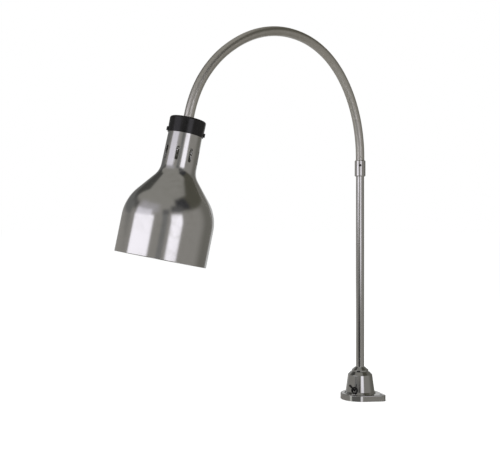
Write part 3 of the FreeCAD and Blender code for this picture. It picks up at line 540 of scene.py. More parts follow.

# %% [markdown]
# ## Which piece has which finish
#
# Every piece of the CAD model gets a finish, hidden ones too, because the lamp can be taken apart.
# A new piece that stands in for some of them is attached to the body that it moves with, and the
# CAD nodes that it replaces are hidden.

# %% Finish the CAD nodes
NODE_FINISHES = {
    "base_casting": CAST_CHROME, "base_collar": CAST_CHROME, "base_plate": ZINC_STEEL,
    "base_plate_screws": ZINC_STEEL, "inlet_bushing": BLACK_PLASTIC, "wire_nuts": WIRE_NUT,
    "line_lead": DARK_INSULATION, "switched_lead": DARK_INSULATION, "neutral_lead": PALE_INSULATION,
    "switch_body": BLACK_PLASTIC, "switch_bushing": BLACK_PLASTIC, "switch_bezel": BLACK_PLASTIC,
    "switch_lever": BLACK_PLASTIC, "post_tube": TUBE_CHROME, "post_washer": ZINC_STEEL,
    "post_locknut": ZINC_STEEL, "post_sleeve": SLEEVING, "coupling": TUBE_CHROME,
    "coupling_screw": BLACK_STEEL, "lower_ferrule": TUBE_CHROME, "upper_ferrule": TUBE_CHROME,
    "head_sleeve": SLEEVING, "cap": CAP_BLACK, "cap_nut": ZINC_STEEL, "cap_screws": BLACK_STEEL,
    "head_bracket": ZINC_STEEL, "socket_plate": ZINC_STEEL, "holder_screws": ZINC_STEEL,
    "lamp_holder": PORCELAIN, "screw_shell": BRASS, "centre_contact": BRASS,
    "head_leads": DARK_INSULATION, "shade": SPUN_ALUMINIUM, "lamp_base": ROLLED_CAP,
    "lamp_glass": FROSTED_GLASS, "lamp_filament": FILAMENT,
}


def finish_node(node, material):
    """Give one CAD node a finish in all its material slots."""
    mesh = frame["nodes"][node].data
    if not mesh.materials:
        mesh.materials.append(material)
    for index in range(len(mesh.materials)):
        mesh.materials[index] = material


for node in frame["nodes"]:
    if node.startswith("neck_link"):
        finish_node(node, WOUND_STEEL)
    elif node.startswith("lead_sleeve"):
        finish_node(node, SLEEVING)
    else:
        finish_node(node, NODE_FINISHES[node])
print("finished nodes:", len(frame["nodes"]))


def dress(piece, material, body, slot, *nodes):
    """Give a new piece its finish and its body, and hide the CAD nodes that it stands for; slot is not
    used.
    """
    piece.data.materials.append(material)
    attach(piece, body)
    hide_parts(*nodes)
    print(f"{piece.name}: {len(piece.data.polygons)} faces on {body}")


# %% [markdown]
# ## The wound arm
#
# The real arm is steel strip wound into a tube. Its surface is one helix: a crest with a narrow
# groove between the turns. A texture could fake it, but the silhouette and the highlights of a real
# arm come from the turns themselves, so they are modelled. The centre line goes through the balls
# of the joints, with cubic curves between them. The tube is cut into one piece per joint, from the
# middle of one link to the middle of the next, and each piece bends across its joint.

# %% Centre line through the balls
def centre_line_tangents(balls):
    """Direction at each ball: the mean of its two chords, up at the post, along the head at the end."""
    chords = unit(np.diff(balls, axis=0))
    inner = unit(chords[:-1] + chords[1:])
    return np.vstack([UP, inner, head_axis])


def centre_line(balls, tangents, share):
    """Point and direction at a share counted in links: cubic Hermite between the balls around it."""
    link = np.clip(np.floor(share).astype(int), 0, len(balls) - 2)
    t = (share - link)[:, None]
    a, b = balls[link], balls[link + 1]
    length = np.linalg.norm(b - a, axis=1, keepdims=True)
    ta, tb = tangents[link] * length, tangents[link + 1] * length
    place = ((2 * t**3 - 3 * t**2 + 1) * a + (t**3 - 2 * t**2 + t) * ta
             + (-2 * t**3 + 3 * t**2) * b + (t**3 - t**2) * tb)
    slope = ((6 * t**2 - 6 * t) * a + (3 * t**2 - 4 * t + 1) * ta
             + (-6 * t**2 + 6 * t) * b + (3 * t**2 - 2 * t) * tb)
    return place, unit(slope)


arm_tangents = centre_line_tangents(ball_centres)
link_span = np.linalg.norm(np.diff(ball_centres, axis=0), axis=1).mean()
low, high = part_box("lower_ferrule")
arm_radius = (high.x - low.x) / 2
arm_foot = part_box("coupling")[1].z
print("link span:", round(link_span, 4), "arm radius:", round(arm_radius, 4))

# %% One stretch of wound tube
TURN_PITCH = 2.1 * MM
GROOVE_DEPTH = 0.12 * MM
GROOVE_SHARPNESS = 24
STATIONS_PER_TURN = 10
TUBE_SIDES = 40
TUBE_WALL = 1.3 * MM


def tube_path(start, end, stations):
    """Places and directions from start to end, in links; past either end the path runs on straight."""
    share = np.linspace(start, end, stations)
    last = len(ball_centres) - 1
    place, direction = centre_line(ball_centres, arm_tangents, np.clip(share, 0, last))
    beyond = (share - np.clip(share, 0, last))[:, None] * link_span
    return place + beyond * direction, direction, share


def groove(phase):
    """|cos(pi * phase)| to a high power: 1 at the bottom of the narrow groove, 0 on the turns beside it."""
    return np.abs(np.cos(np.pi * phase)) ** GROOVE_SHARPNESS


def wound_tube(name, start, end):
    """Tube of radius arm - depth * groove(s / pitch - angle / full turn), s along the centre line.

    Rows run along the outside and come back along the inside, so the wall is closed.
    """
    stations = int(round((end - start) * link_span / TURN_PITCH * STATIONS_PER_TURN)) + 1
    place, direction, share = tube_path(start, end, stations)
    side = unit(np.array([0.0, 1.0, 0.0]) - direction[:, 1:2] * direction)
    normal = np.cross(side, direction)
    angle = np.linspace(0, 2 * np.pi, TUBE_SIDES + 1)
    spoke = (np.cos(angle)[None, :, None] * side[:, None]
             + np.sin(angle)[None, :, None] * normal[:, None])
    phase = share[:, None] * link_span / TURN_PITCH - angle[None] / (2 * np.pi)
    radius = arm_radius - GROOVE_DEPTH * groove(phase)
    outside = place[:, None] + radius[..., None] * spoke
    slope = np.gradient(radius, axis=0) * (stations - 1) / ((end - start) * link_span)
    outward = unit(spoke - slope[..., None] * direction[:, None])
    back = np.append(np.arange(stations - 1, 0, -STATIONS_PER_TURN), 0)
    inside = place[back, None] + (arm_radius - TUBE_WALL) * spoke[back]
    points = np.concatenate([outside, inside, outside[:1]])
    normals = np.concatenate([outward, -spoke[back], outward[:1]])
    along = np.concatenate([share, share[back], share[:1]]) * link_span
    distances = np.stack(np.broadcast_arrays(angle[None] * arm_radius, along[:, None]), -1)
    return surface_piece(name, [(points, normals, distances)])


print("turns in one link:", round(link_span / TURN_PITCH, 1))

# %% The arm, one piece per joint
foot_share = (arm_foot - ball_centres[0][2]) / link_span
top_share = len(ball_centres) - 1 + head_stem / link_span
last_joint = len(ball_centres) - 1
for number in range(last_joint + 1):
    start = foot_share if number == 0 else number - 0.5
    end = top_share if number == last_joint else number + 0.5
    stretch = wound_tube(f"arm_tube_{number:02d}", start, end)
    nodes = ["lower_ferrule" if number == 0 else f"neck_link_{number:02d}"]
    if number == last_joint:
        nodes.append("upper_ferrule")
    stretch.data.materials.append(WOUND_STEEL)
    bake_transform(stretch)
    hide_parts(*nodes)
print("arm pieces:", last_joint + 1)

# %% [markdown]
# ## The spun shade
#
# The shade is spun from one disc of aluminium: a neck, a concave flare, a cone, a round shoulder
# and a straight skirt with its edge turned in. Eight round-ended slots in the neck let the heat
# out. A slot could be cut with a boolean, but that leaves long thin faces that spoil a polished
# surface. Instead the band with the slots is made of eight equal fields. In each, one parameter
# runs round the slot and the other runs from the field's edge to the slot, through the wall, and
# back inside, so the grid flows round the hole.

# %% Shade sizes
SHADE_TOP = 10.5
SHADE_WALL = 1.0
NECK_TOP_RADIUS = 27.2
NECK_BOTTOM_RADIUS = 28.5
NECK_EDGE_ROUND = 0.3
CONE_PLACE = 89.2
CONE_SLOPE = math.tan(math.radians(39.4))
CONE_ROUND = 30.0
BELL_RADIUS = 73.6
BELL_ROUND = 70.0
RIM_PLACE = 229.0
RIM_ROUND = 0.5
HEM_WIDTH = 1.8
HEM_LENGTH = 2.6
HEM_RUNOUT = 1.0
SLOT_COUNT = 8
SLOT_PLACE = 59.6
SLOT_LENGTH = 22.4
SLOT_WIDTH = 5.4
FRONT_AZIMUTH = math.radians(228.0)
SLOT_OFFSET = math.radians(14.0)
BAND_HALF = 15.0
FIELD_STEPS = 12
SHADE_SIDES = SLOT_COUNT * 2 * FIELD_STEPS
SHADE_ARC_STEPS = 24

front = np.array([math.cos(FRONT_AZIMUTH), math.sin(FRONT_AZIMUTH), 0.0])
front_angle = math.atan2(front @ head_side, front @ head_normal)


def neck_radius(place):
    """Outer radius of the neck at a distance from the cap's face."""
    share = (place - SHADE_TOP) / (CONE_PLACE - SHADE_TOP)
    return NECK_TOP_RADIUS + share * (NECK_BOTTOM_RADIUS - NECK_TOP_RADIUS)


print("neck radius at the slots:", round(neck_radius(SLOT_PLACE), 2), "mm")


# %% Shade profile
def shade_corners(top, bottom):
    """The wall's outline without its slotted band, down the outside and back up the inside."""
    bell_place = CONE_PLACE + (BELL_RADIUS - NECK_BOTTOM_RADIUS) / CONE_SLOPE
    shift = SHADE_WALL * math.tan(math.atan(CONE_SLOPE) / 2)
    return [
        (neck_radius(bottom), bottom, 0),
        (NECK_BOTTOM_RADIUS, CONE_PLACE, CONE_ROUND),
        (BELL_RADIUS, bell_place, BELL_ROUND),
        (BELL_RADIUS, RIM_PLACE, RIM_ROUND),
        (BELL_RADIUS - HEM_WIDTH, RIM_PLACE, RIM_ROUND),
        (BELL_RADIUS - HEM_WIDTH, RIM_PLACE - HEM_LENGTH, 0.3),
        (BELL_RADIUS - SHADE_WALL, RIM_PLACE - HEM_LENGTH - HEM_RUNOUT, 0),
        (BELL_RADIUS - SHADE_WALL, bell_place + shift, BELL_ROUND - SHADE_WALL),
        (NECK_BOTTOM_RADIUS - SHADE_WALL, CONE_PLACE + shift, CONE_ROUND + SHADE_WALL),
        (neck_radius(bottom) - SHADE_WALL, bottom, 0),
        (neck_radius(top) - SHADE_WALL, top, 0),
        (NECK_TOP_RADIUS - SHADE_WALL, SHADE_TOP, NECK_EDGE_ROUND),
        (NECK_TOP_RADIUS, SHADE_TOP, NECK_EDGE_ROUND),
        (neck_radius(top), top, 0),
    ]


def rows_between(profile, start, end):
    """Row numbers of a profile from the last point at one corner to the first point at another."""
    at_start, at_end = (np.flatnonzero(np.abs(profile - corner).sum(1) < 1e-6) for corner in (start, end))
    return np.arange(at_start[-1], at_end[0] + 1)


def shade_profiles():
    """Points and directions of the wall below the slotted band, and of the wall above it."""
    top, bottom = SLOT_PLACE - BAND_HALF, SLOT_PLACE + BAND_HALF
    profile, facing = rounded_profile(shade_corners(top, bottom), SHADE_ARC_STEPS)
    wall = np.array([SHADE_WALL, 0.0])
    low, high = np.array([neck_radius(bottom), bottom]), np.array([neck_radius(top), top])
    parts = rows_between(profile, low, low - wall), rows_between(profile, high - wall, high)
    return [(profile[rows], facing[rows]) for rows in parts]


shade_parts = shade_profiles()
print("profile points below and above the slots:", [len(profile) for profile, facing in shade_parts])


# %% Edges of one field
def field_edge(steps):
    """Square from its right-hand middle, anticlockwise, closed, with steps to each half side."""
    run = np.linspace(0, 1, steps, endpoint=False)
    one = np.ones(steps)
    x = np.concatenate([one, 1 - run, -run, -one, -one, run - 1, run, one, [1]])
    y = np.concatenate([run, one, one, 1 - run, -run, -one, -one, run - 1, [0]])
    return x, y


def slot_edge(x, y):
    """Point of the round-ended slot that belongs to each point of the field's edge.

    The slot is walked at an even pace: s goes 0..4 round it, as it does round the field.
    """
    half, straight = SLOT_WIDTH / 2, (SLOT_LENGTH - SLOT_WIDTH) / 2
    quarter = straight + half * math.pi / 2
    upright = np.where(np.abs(x) >= np.abs(y), np.abs(y) / 2, 1 - np.abs(x) / 2)
    length = upright * quarter
    turn = np.clip(length - straight, 0, None) / half
    across = np.where(x < 0, -1, 1) * half * np.cos(turn)
    return across, np.sign(y) * (np.minimum(length, straight) + half * np.sin(turn))


print("columns in a field:", len(field_edge(FIELD_STEPS)[0]))

# %% The slotted band
# One column per row of a field: how far it is from the field's edge (0) to the slot (1), how deep it
# lies in the wall (0 outside, 1 inside), and how much it faces outwards (1), inwards (-1) or into
# the slot (0).
FIELD_ROWS = np.array([
    [0.0, 0.3, 0.55, 0.75, 0.9, 0.985, 1.0, 1.0, 0.985, 0.9, 0.75, 0.55, 0.3, 0.0],
    [0.0, 0.0, 0.0, 0.0, 0.0, 0.0, 0.12, 0.88, 1.0, 1.0, 1.0, 1.0, 1.0, 1.0],
    [1.0, 1.0, 1.0, 1.0, 1.0, 1.0, 0.15, -0.15, -1.0, -1.0, -1.0, -1.0, -1.0, -1.0]])


def slotted_fields():
    """Eight patches: rows from the field's edge to its slot, through it and back on the inside.

    A point lies at share * slot + (1 - share) * edge, in turn about the axis and in place along it.
    """
    x, y = field_edge(FIELD_STEPS)
    slot_x, slot_y = slot_edge(x, y)
    share, depth, out = FIELD_ROWS[:, :, None]
    edge_angle = x * math.pi / SLOT_COUNT
    angle = edge_angle + share * (slot_x / neck_radius(SLOT_PLACE) - edge_angle)
    place = SLOT_PLACE + y * BAND_HALF + share * (slot_y - y * BAND_HALF)
    radius = neck_radius(place) - depth * SHADE_WALL
    round_end = np.clip(np.abs(slot_y) - (SLOT_LENGTH - SLOT_WIDTH) / 2, 0, None)
    into_x, into_y = -slot_x / SLOT_WIDTH * 2, -np.sign(slot_y) * round_end / SLOT_WIDTH * 2
    into = 1 - np.abs(out)
    x_head, y_head = head_normal, np.cross(head_axis, head_normal)
    patches = []
    for number in range(SLOT_COUNT):
        turn = angle + front_angle + SLOT_OFFSET + 2 * math.pi / SLOT_COUNT * number
        spoke = np.cos(turn)[..., None] * x_head + np.sin(turn)[..., None] * y_head
        around = -np.sin(turn)[..., None] * x_head + np.cos(turn)[..., None] * y_head
        points = cap_face + MM * (place[..., None] * head_axis + radius[..., None] * spoke)
        slot_wall = into_x[None, :, None] * around + into_y[None, :, None] * head_axis
        normals = out[..., None] * spoke + into[..., None] * slot_wall
        distances = np.stack([turn * BELL_RADIUS * MM, place * MM], -1)
        patches.append((points, normals, distances))
    return patches


print("rows in a field:", FIELD_ROWS.shape[1])


# %% The whole shade
shade_turn = (front_angle + SLOT_OFFSET + np.linspace(0, 2 * np.pi, SHADE_SIDES + 1)
              - math.pi / SLOT_COUNT)
shade = surface_piece("shade_spun", slotted_fields() + [
    turned_patch(profile, facing, cap_face, head_axis, shade_turn, head_normal)
    for profile, facing in shade_parts])
dress(shade, SPUN_ALUMINIUM, "head", "shade_aluminium", "shade")

# %% [markdown]
# ## The cap
#
# The cap is a moulded cup that hides the bracket and the top of the shade's neck. Its top edge is
# well rounded, so it carries a soft band of light. A bevelled cylinder would come close, but its
# bevel has one width all round and shows its facets. The cup is a closed profile instead, spun
# about the head's axis.

# %% Cap
CAP = {"hole": 5.05, "top_radius": 29.4, "bottom_radius": 28.9, "height": 26.0, "edge_round": 3.0,
       "lip_round": 0.6, "ceiling": 3.0, "hollow": 27.7, "hollow_round": 1.2, "neck_space": 0.1}

cap = turned_piece("cap_moulded", [
    (CAP["hole"], 0, 0),
    (CAP["top_radius"], 0, CAP["edge_round"]),
    (CAP["bottom_radius"], CAP["height"], CAP["lip_round"]),
    (neck_radius(CAP["height"]) + CAP["neck_space"], CAP["height"], 0),
    (CAP["hollow"], CAP["ceiling"], CAP["hollow_round"]),
    (CAP["hole"], CAP["ceiling"], 0)], cap_face, head_axis)
dress(cap, CAP_BLACK, "head", "cap_plastic", "cap")

# %% [markdown]
# ## The post and its collar
#
# The post is a plain chrome tube, and the collar is a turned cone. The CAD meshes have the right
# shapes, but their facets break up a mirror finish, so both are spun again with many sides. Their
# rounded edges are small, but on bright metal each one draws a line of light.

# %% Post and collar
POST = {"radius": 7.9375, "bore": 6.4375, "bottom": 27.0, "top": 450.0, "edge_round": 0.4}
COLLAR = {"bore": 7.9875, "radius": 16.2, "bottom": 53.5, "rim_top": 56.7, "top_radius": 9.4, "top": 62.5}

post = turned_piece("post_polished", [
    (POST["radius"], POST["bottom"], 0),
    (POST["radius"], POST["top"], POST["edge_round"]),
    (POST["bore"], POST["top"], 0),
    (POST["bore"], POST["bottom"], 0)], sides=96)
dress(post, TUBE_CHROME, "base", "tube_chrome", "post_tube")
collar = turned_piece("collar_turned", [
    (COLLAR["bore"], COLLAR["bottom"], 0),
    (COLLAR["radius"], COLLAR["bottom"], 0.4),
    (COLLAR["radius"], COLLAR["rim_top"], 0.8),
    (COLLAR["top_radius"], COLLAR["top"], 0.6),
    (COLLAR["bore"], COLLAR["top"], 0)])
dress(collar, CAST_CHROME, "base", "cast_chrome", "base_collar")

# %% [markdown]
# ## The base casting
#
# The base is one die casting: a flange with a lug for a screw, and a tapered body with a bevelled
# shoulder. The body is spun like the rest. The flange is the same idea with a plan that isn't
# round: at each angle, the rounded edge profile is pushed out to the reach of the plan's outline,
# which is the hull of the disc and the lug's small circle.

# %% Casting body
FLANGE = {"disc": 38.3, "lug": 9.0, "reach": 45.0, "top": 11.6, "round": 1.6, "hole": 2.75, "inner": 30.05}
BODY = {"bottom_radius": 31.4, "bottom": 11.4, "waist_radius": 28.2, "waist": 15.0, "shoulder_radius": 23.7,
        "shoulder": 47.7, "top_radius": 17.9, "top": 53.5, "bore": 8.0, "hub": 44.0,
        "skirt_radius": 28.6, "skirt": 2.0, "inner_bottom_radius": 24.6, "inner_top_radius": 20.2}

body = turned_piece("casting_body", [
    (25.1, BODY["skirt"], 0),
    (BODY["skirt_radius"], BODY["skirt"], 0),
    (BODY["skirt_radius"], BODY["bottom"], 0),
    (BODY["bottom_radius"], BODY["bottom"], 0.5),
    (BODY["waist_radius"], BODY["waist"], 2.5),
    (BODY["shoulder_radius"], BODY["shoulder"], 2.0),
    (BODY["top_radius"], BODY["top"], 0.8),
    (BODY["bore"], BODY["top"], 0),
    (BODY["bore"], BODY["hub"], 0),
    (BODY["inner_top_radius"], BODY["hub"] + 0.2, 3.0),
    (BODY["inner_bottom_radius"], FLANGE["top"], 2.0)], sides=192)
dress(body, CAST_CHROME, "base", "cast_chrome", "base_casting")


# %% Flange with its lug
def flange_reach(angle, disc, lug, reach):
    """Distance from the axis to the hull of a disc and a lug circle, at angles from the lug.

    Beyond the disc's tangent point it is the disc, and before the lug's it is the lug's circle, by
    the cosine rule. Between them it is the straight tangent, which lies at the disc's radius from
    the axis, square to the angle half.
    """
    half = math.acos((disc - lug) / reach)
    away = np.abs((angle + np.pi) % (2 * np.pi) - np.pi)
    tip = math.atan2(lug * math.sin(half), reach + lug * math.cos(half))
    round_tip = reach * np.cos(away) + np.sqrt(np.maximum(lug**2 - (reach * np.sin(away))**2, 0))
    straight = disc / np.maximum(np.cos(away - half), 1e-3)
    return np.where(away > half, disc, np.where(away > tip, straight, round_tip))


LUG_AZIMUTH = math.radians(-81.0)
LUG_SPREAD = math.radians(24)       # half the angle of the lug's sector
LUG_COLUMNS = 22                    # in half the sector
LUG_CROWDING = 1.2                  # how much closer the columns stand at the lug's tip
FLANGE_SIDES = 216
RADIAL_STEPS = 6


def flange_ring(angle, inset):
    """Points and outward normals of the outline at angles from the lug, moved inwards by an inset."""
    disc, lug, reach = FLANGE["disc"], FLANGE["lug"], FLANGE["reach"]
    half = math.acos((disc - lug) / reach)
    radius = flange_reach(angle, disc, lug, reach)
    points = np.stack([radius * np.cos(angle), radius * np.sin(angle)], -1)
    away = np.abs(angle)
    tip = math.atan2(lug * math.sin(half), reach + lug * math.cos(half))
    from_lug = unit(points - [reach, 0.0])
    along = np.stack([np.full_like(angle, math.cos(half)), np.sign(angle) * math.sin(half)], -1)
    lug_side = np.where((away > tip)[:, None], along, from_lug)
    normals = np.where((away > half)[:, None], unit(points), lug_side)
    return points - inset * normals, normals


reaches = flange_reach(np.array([0.0, np.pi]), FLANGE["disc"], FLANGE["lug"], FLANGE["reach"])
print("flange reach at the lug and opposite it:", reaches.round(2), "mm")

# %% Flat faces of the flange
LUG_CENTRE = np.array([FLANGE["reach"], 0.0])
HOLE_STEPS = np.array([0.0, 0.3, 0.6, 0.85, 1.0])   # rows from the sector's edge to the hole


def flange_face(outer, inner, height, up):
    """One flat face between two rings: a plain grid, with an O-grid round the hole in the lug's sector."""
    middle = len(outer) // 2
    share = np.linspace(0, 1, RADIAL_STEPS + 1)[:, None, None]
    grid = outer[None] + share * (inner - outer)[None]
    left, right = middle - LUG_COLUMNS, middle + LUG_COLUMNS
    loop = np.concatenate([grid[0, left:right], grid[:-1, right], grid[-1, right:left:-1],
                           grid[:0:-1, left], grid[0, left:left + 1]])
    hole = LUG_CENTRE + FLANGE["hole"] * unit(loop - LUG_CENTRE)
    steps = HOLE_STEPS[:, None, None]
    patches = []
    for part in (grid[:, right:], grid[:, :left + 1], loop[None] + steps * (hole - loop)[None]):
        points = np.dstack([part, np.full(part.shape[:2], height)])
        normals = np.zeros_like(points)
        normals[..., 2] = up
        patches.append((points, normals, part))
    return patches, hole


def hole_wall(ring_above, ring_below, facing, top):
    """Wall from a ring at the top to the ring below it at height 0."""
    points = np.stack([np.column_stack([ring_above, np.full(len(ring_above), top)]),
                       np.column_stack([ring_below, np.zeros(len(ring_below))])])
    normal = np.column_stack([facing, np.zeros(len(facing))])
    return points, np.stack([normal, normal]), points[..., :2]


print("rows round the lug's hole:", len(HOLE_STEPS))


# %% The whole flange
ROUND_STEPS = 7             # rows in the quarter round of the upper edge


def flange_side(upper, lower, normals, top, rounding):
    """Side from the top's edge, over a quarter round (inset r (1 - sin t), drop r (1 - cos t)) and down."""
    turn = np.linspace(0, np.pi / 2, ROUND_STEPS)
    inset = np.append(rounding * (1 - np.sin(turn)), 0.0)
    height = np.append(top - rounding * (1 - np.cos(turn)), 0.0)
    outward = np.append(np.sin(turn), 1.0)
    shape = (len(height), len(upper), 1)
    points = np.dstack([upper[None] + (rounding - inset)[:, None, None] * normals[None],
                        np.broadcast_to(height[:, None, None], shape)])
    facing = np.dstack([outward[:, None, None] * normals[None],
                        np.broadcast_to(np.sqrt(1 - outward**2)[:, None, None], shape)])
    length = np.concatenate([[0], np.cumsum(np.linalg.norm(np.diff(lower, axis=0), axis=1))])
    return points, facing, np.stack(np.broadcast_arrays(length[None], height[:, None]), -1)


def flange_patches():
    """The flange's faces in millimetres, lug along +X: top, bottom, side, screw hole and inner wall."""
    crowded = np.sinh(np.linspace(-1, 1, 2 * LUG_COLUMNS + 1) * LUG_CROWDING) / math.sinh(LUG_CROWDING)
    rest = np.linspace(LUG_SPREAD, np.pi, FLANGE_SIDES // 2 - LUG_COLUMNS + 1)[1:]
    angle = np.concatenate([-rest[::-1], crowded * LUG_SPREAD, rest])
    top, rounding = FLANGE["top"], FLANGE["round"]
    upper, normals = flange_ring(angle, rounding)
    lower, _ = flange_ring(angle, 0.0)
    inner = FLANGE["inner"] * np.stack([np.cos(angle), np.sin(angle)], -1)
    top_patches, hole = flange_face(upper, inner, top, 1.0)
    bottom_patches, low_hole = flange_face(lower, inner, 0.0, -1.0)
    return top_patches + bottom_patches + [
        flange_side(upper, lower, normals, top, rounding),
        hole_wall(hole, low_hole, unit(LUG_CENTRE - hole), top),
        hole_wall(inner, inner, -unit(inner), top)]


def turned_about_z(patches, azimuth):
    """Patches in millimetres turned about Z and brought to metres."""
    cosine, sine = math.cos(azimuth), math.sin(azimuth)
    matrix = np.array([[cosine, sine, 0.0], [-sine, cosine, 0.0], [0.0, 0.0, 1.0]])
    return [(points @ matrix * MM, normals @ matrix, distances * MM)
            for points, normals, distances in patches]


flange = surface_piece("casting_flange", turned_about_z(flange_patches(), LUG_AZIMUTH))
dress(flange, CAST_CHROME, "base", "cast_chrome", "base_casting")

# %% [markdown]
# ## The switch
#
# A bat-handled toggle goes through a round black nut in the side of the casting. The bat could be
# a stretched ball, but a real one narrows to a neck above its ball, so it is spun from a profile
# too. The lever swings about its ball, so it is made along its own axis from the joint's place in
# the record.

# %% Nut and bat lever
NUT = {"bore": 5.95, "radius": 7.0, "back": -1.0, "front": 3.0}
BAT = {"ball": 2.4, "neck": 1.4, "neck_start": 2.6, "neck_end": 5.0, "tip": 2.3, "length": 27.0}
PIVOT_DEPTH = -1.2          # the lever's ball lies this far outside the nut's seat
BAT_TILT = math.radians(30.0)

toggle = joints["switch_toggle"]
lever_pivot = np.array(toggle["pos_m"])
out = np.array([toggle["axis"][1], -toggle["axis"][0], 0.0])
bezel = turned_piece("switch_nut", [
    (NUT["bore"], NUT["back"], 0),
    (NUT["radius"], NUT["back"], 0),
    (NUT["radius"], NUT["front"], 0.9),
    (NUT["bore"], NUT["front"], 0.3)], lever_pivot + PIVOT_DEPTH * MM * out, out, sides=64)
dress(bezel, BLACK_PLASTIC, "base", "black_plastic", "switch_bezel")
lever = turned_piece("switch_bat", [
    (0, -BAT["ball"], 0),
    (BAT["ball"], -BAT["ball"], 2.3),
    (BAT["ball"], 2.0, 1.6),
    (BAT["neck"], BAT["neck_start"], 0.4),
    (BAT["neck"] + 0.05, BAT["neck_end"], 1.0),
    (BAT["tip"], BAT["length"], 1.9),
    (0, BAT["length"], 0)], lever_pivot, math.cos(BAT_TILT) * out + math.sin(BAT_TILT) * UP, sides=48)
dress(lever, BLACK_PLASTIC, "lever", "black_plastic", "switch_lever")

# %% [markdown]
# ## The lamp
#
# The lamp's envelope is blown into a mould: a neck, a cone that is silvered inside, a round
# shoulder, and a face that is a shallow dome. Clear glass with a filament inside would be lost in
# the dark of the shade, and a real heat lamp of this kind is frosted, so nothing behind its face
# shows. It is one closed profile with an opaque finish, and it stands for the filament too.

# %% Lamp glass
LAMP = {"start": 53.85, "screw_cap": 13.1, "neck": 16.4, "neck_start": 62.85, "neck_end": 79.0,
        "radius": 63.5, "cone_end": 151.53, "shoulder": 170.0, "dome_edge": 34.925, "face": 190.0}

glass = turned_piece("lamp_blown", [
    (0, LAMP["start"], 0),
    (LAMP["screw_cap"], LAMP["start"], 0),
    (LAMP["neck"], LAMP["neck_start"], 4.0),
    (LAMP["neck"], LAMP["neck_end"], 24.0),
    (LAMP["radius"], LAMP["cone_end"], 24.0),
    (LAMP["radius"], LAMP["shoulder"], 16.0),
    (LAMP["dome_edge"], LAMP["face"], LAMP["radius"]),
    (0, LAMP["face"], 0)], cap_face, head_axis, sides=128, steps=12)
dress(glass, FROSTED_GLASS, "lamp", "lamp_glass", "lamp_glass", "lamp_filament")

# %% [markdown]
# ## The coupling
#
# The coupling joins the arm to the post, with a grub screw in a cross hole. A boolean cut would
# leave long thin faces round the hole, as in the shade. So the band with the hole is laid out in
# the same way as the shade's slots, but the hole is round and blind, and its rows end in a floor.

# %% Field with a round hole
COUPLING = {"radius": 10.65, "bore": 3.2, "bottom": 437.0, "top": 469.0, "bevel": 1.6,
            "hole": 2.55, "hole_height": 458.7, "hole_depth": 2.7, "band_half": 5.0, "fields": 8}
SCREW_AZIMUTH = math.radians(216.0)

# One column per row of the field: how far it is from the field's edge (0) to the hole (1), how deep
# it lies in the hole (0 outside, 1 on the floor), and how much it faces outwards.
HOLE_ROWS = np.array([
    [0.0, 0.4, 0.75, 0.95, 1.0, 1.0, 1.0, 0.0],
    [0.0, 0.0, 0.0, 0.0, 0.0, 0.2 / COUPLING["hole_depth"], 1.0, 1.0],
    [1.0, 1.0, 1.0, 1.0, 0.7, 0.0, 0.0, 1.0]])


def hole_field(radius, hole, height, half_angle, half_height, azimuth, depth):
    """O-grid from a square field on a cylinder to a round hole, down its wall and over its floor."""
    x, y = field_edge(FIELD_STEPS)
    way = np.arctan2(y * half_height, x * half_angle * radius)
    share, sink, out = HOLE_ROWS[:, :, None]
    edge_angle = x * half_angle
    angle = edge_angle + share * (hole * np.cos(way) / radius - edge_angle)
    place = height + y * half_height + share * (hole * np.sin(way) - y * half_height)
    angle[-1], place[-1] = 0.0, height
    wall = np.sqrt(1 - out**2)
    turn = angle + azimuth
    spoke = np.stack([np.cos(turn), np.sin(turn), 0 * turn], -1)
    around = np.stack([-np.sin(turn), np.cos(turn), 0 * turn], -1)
    inward = -(np.cos(way)[None, :, None] * around + np.sin(way)[None, :, None] * UP)
    points = MM * ((radius - sink * depth)[..., None] * spoke + place[..., None] * UP)
    normals = out[..., None] * spoke + wall[..., None] * inward
    return points, normals, np.stack([turn * radius, place], -1) * MM


print("rows in the field:", HOLE_ROWS.shape[1])


# %% Coupling with its cross hole
def straight_runs(corners):
    """Profile and directions through corners with sharp edges: each run keeps its own two ends."""
    corners = np.array(corners)
    profile = np.repeat(corners, 2, axis=0)[1:-1]
    run = unit(np.diff(corners, axis=0))
    facing = np.column_stack([run[:, 1], -run[:, 0]])
    return profile, np.repeat(facing, 2, axis=0)


def coupling_patches():
    """The field with the hole, the rest of its band, and the two turned parts above and below."""
    radius, bevel, bore = COUPLING["radius"], COUPLING["bevel"], COUPLING["bore"]
    bottom, top = COUPLING["bottom"], COUPLING["top"]
    middle, half = COUPLING["hole_height"], COUPLING["band_half"]
    half_angle = math.pi / COUPLING["fields"]
    field = hole_field(radius, COUPLING["hole"], middle, half_angle, half, SCREW_AZIMUTH,
                       COUPLING["hole_depth"])
    field_columns = 2 * FIELD_STEPS
    whole = (np.linspace(0, 2 * np.pi, COUPLING["fields"] * field_columns + 1) + SCREW_AZIMUTH
             - half_angle)
    heights = np.linspace(middle - half, middle + half, field_columns + 1)
    band = np.column_stack([np.full(len(heights), radius), heights])
    outwards = np.tile([1.0, 0.0], (len(heights), 1))
    lower = straight_runs([(bore, bottom), (radius - bevel, bottom), (radius, bottom + bevel),
                           (radius, middle - half)])
    upper = straight_runs([(radius, middle + half), (radius, top - bevel), (radius - bevel, top),
                           (bore, top), (bore, bottom)])
    x_start = np.array([1.0, 0.0, 0.0])
    return [field] + [turned_patch(profile, facing, (0, 0, 0), UP, angle, x_start)
                      for profile, facing, angle in ((band, outwards, whole[field_columns:]),
                                                     (*lower, whole), (*upper, whole))]


coupling = surface_piece("coupling_turned", coupling_patches())
dress(coupling, TUBE_CHROME, "base", "tube_chrome", "coupling")

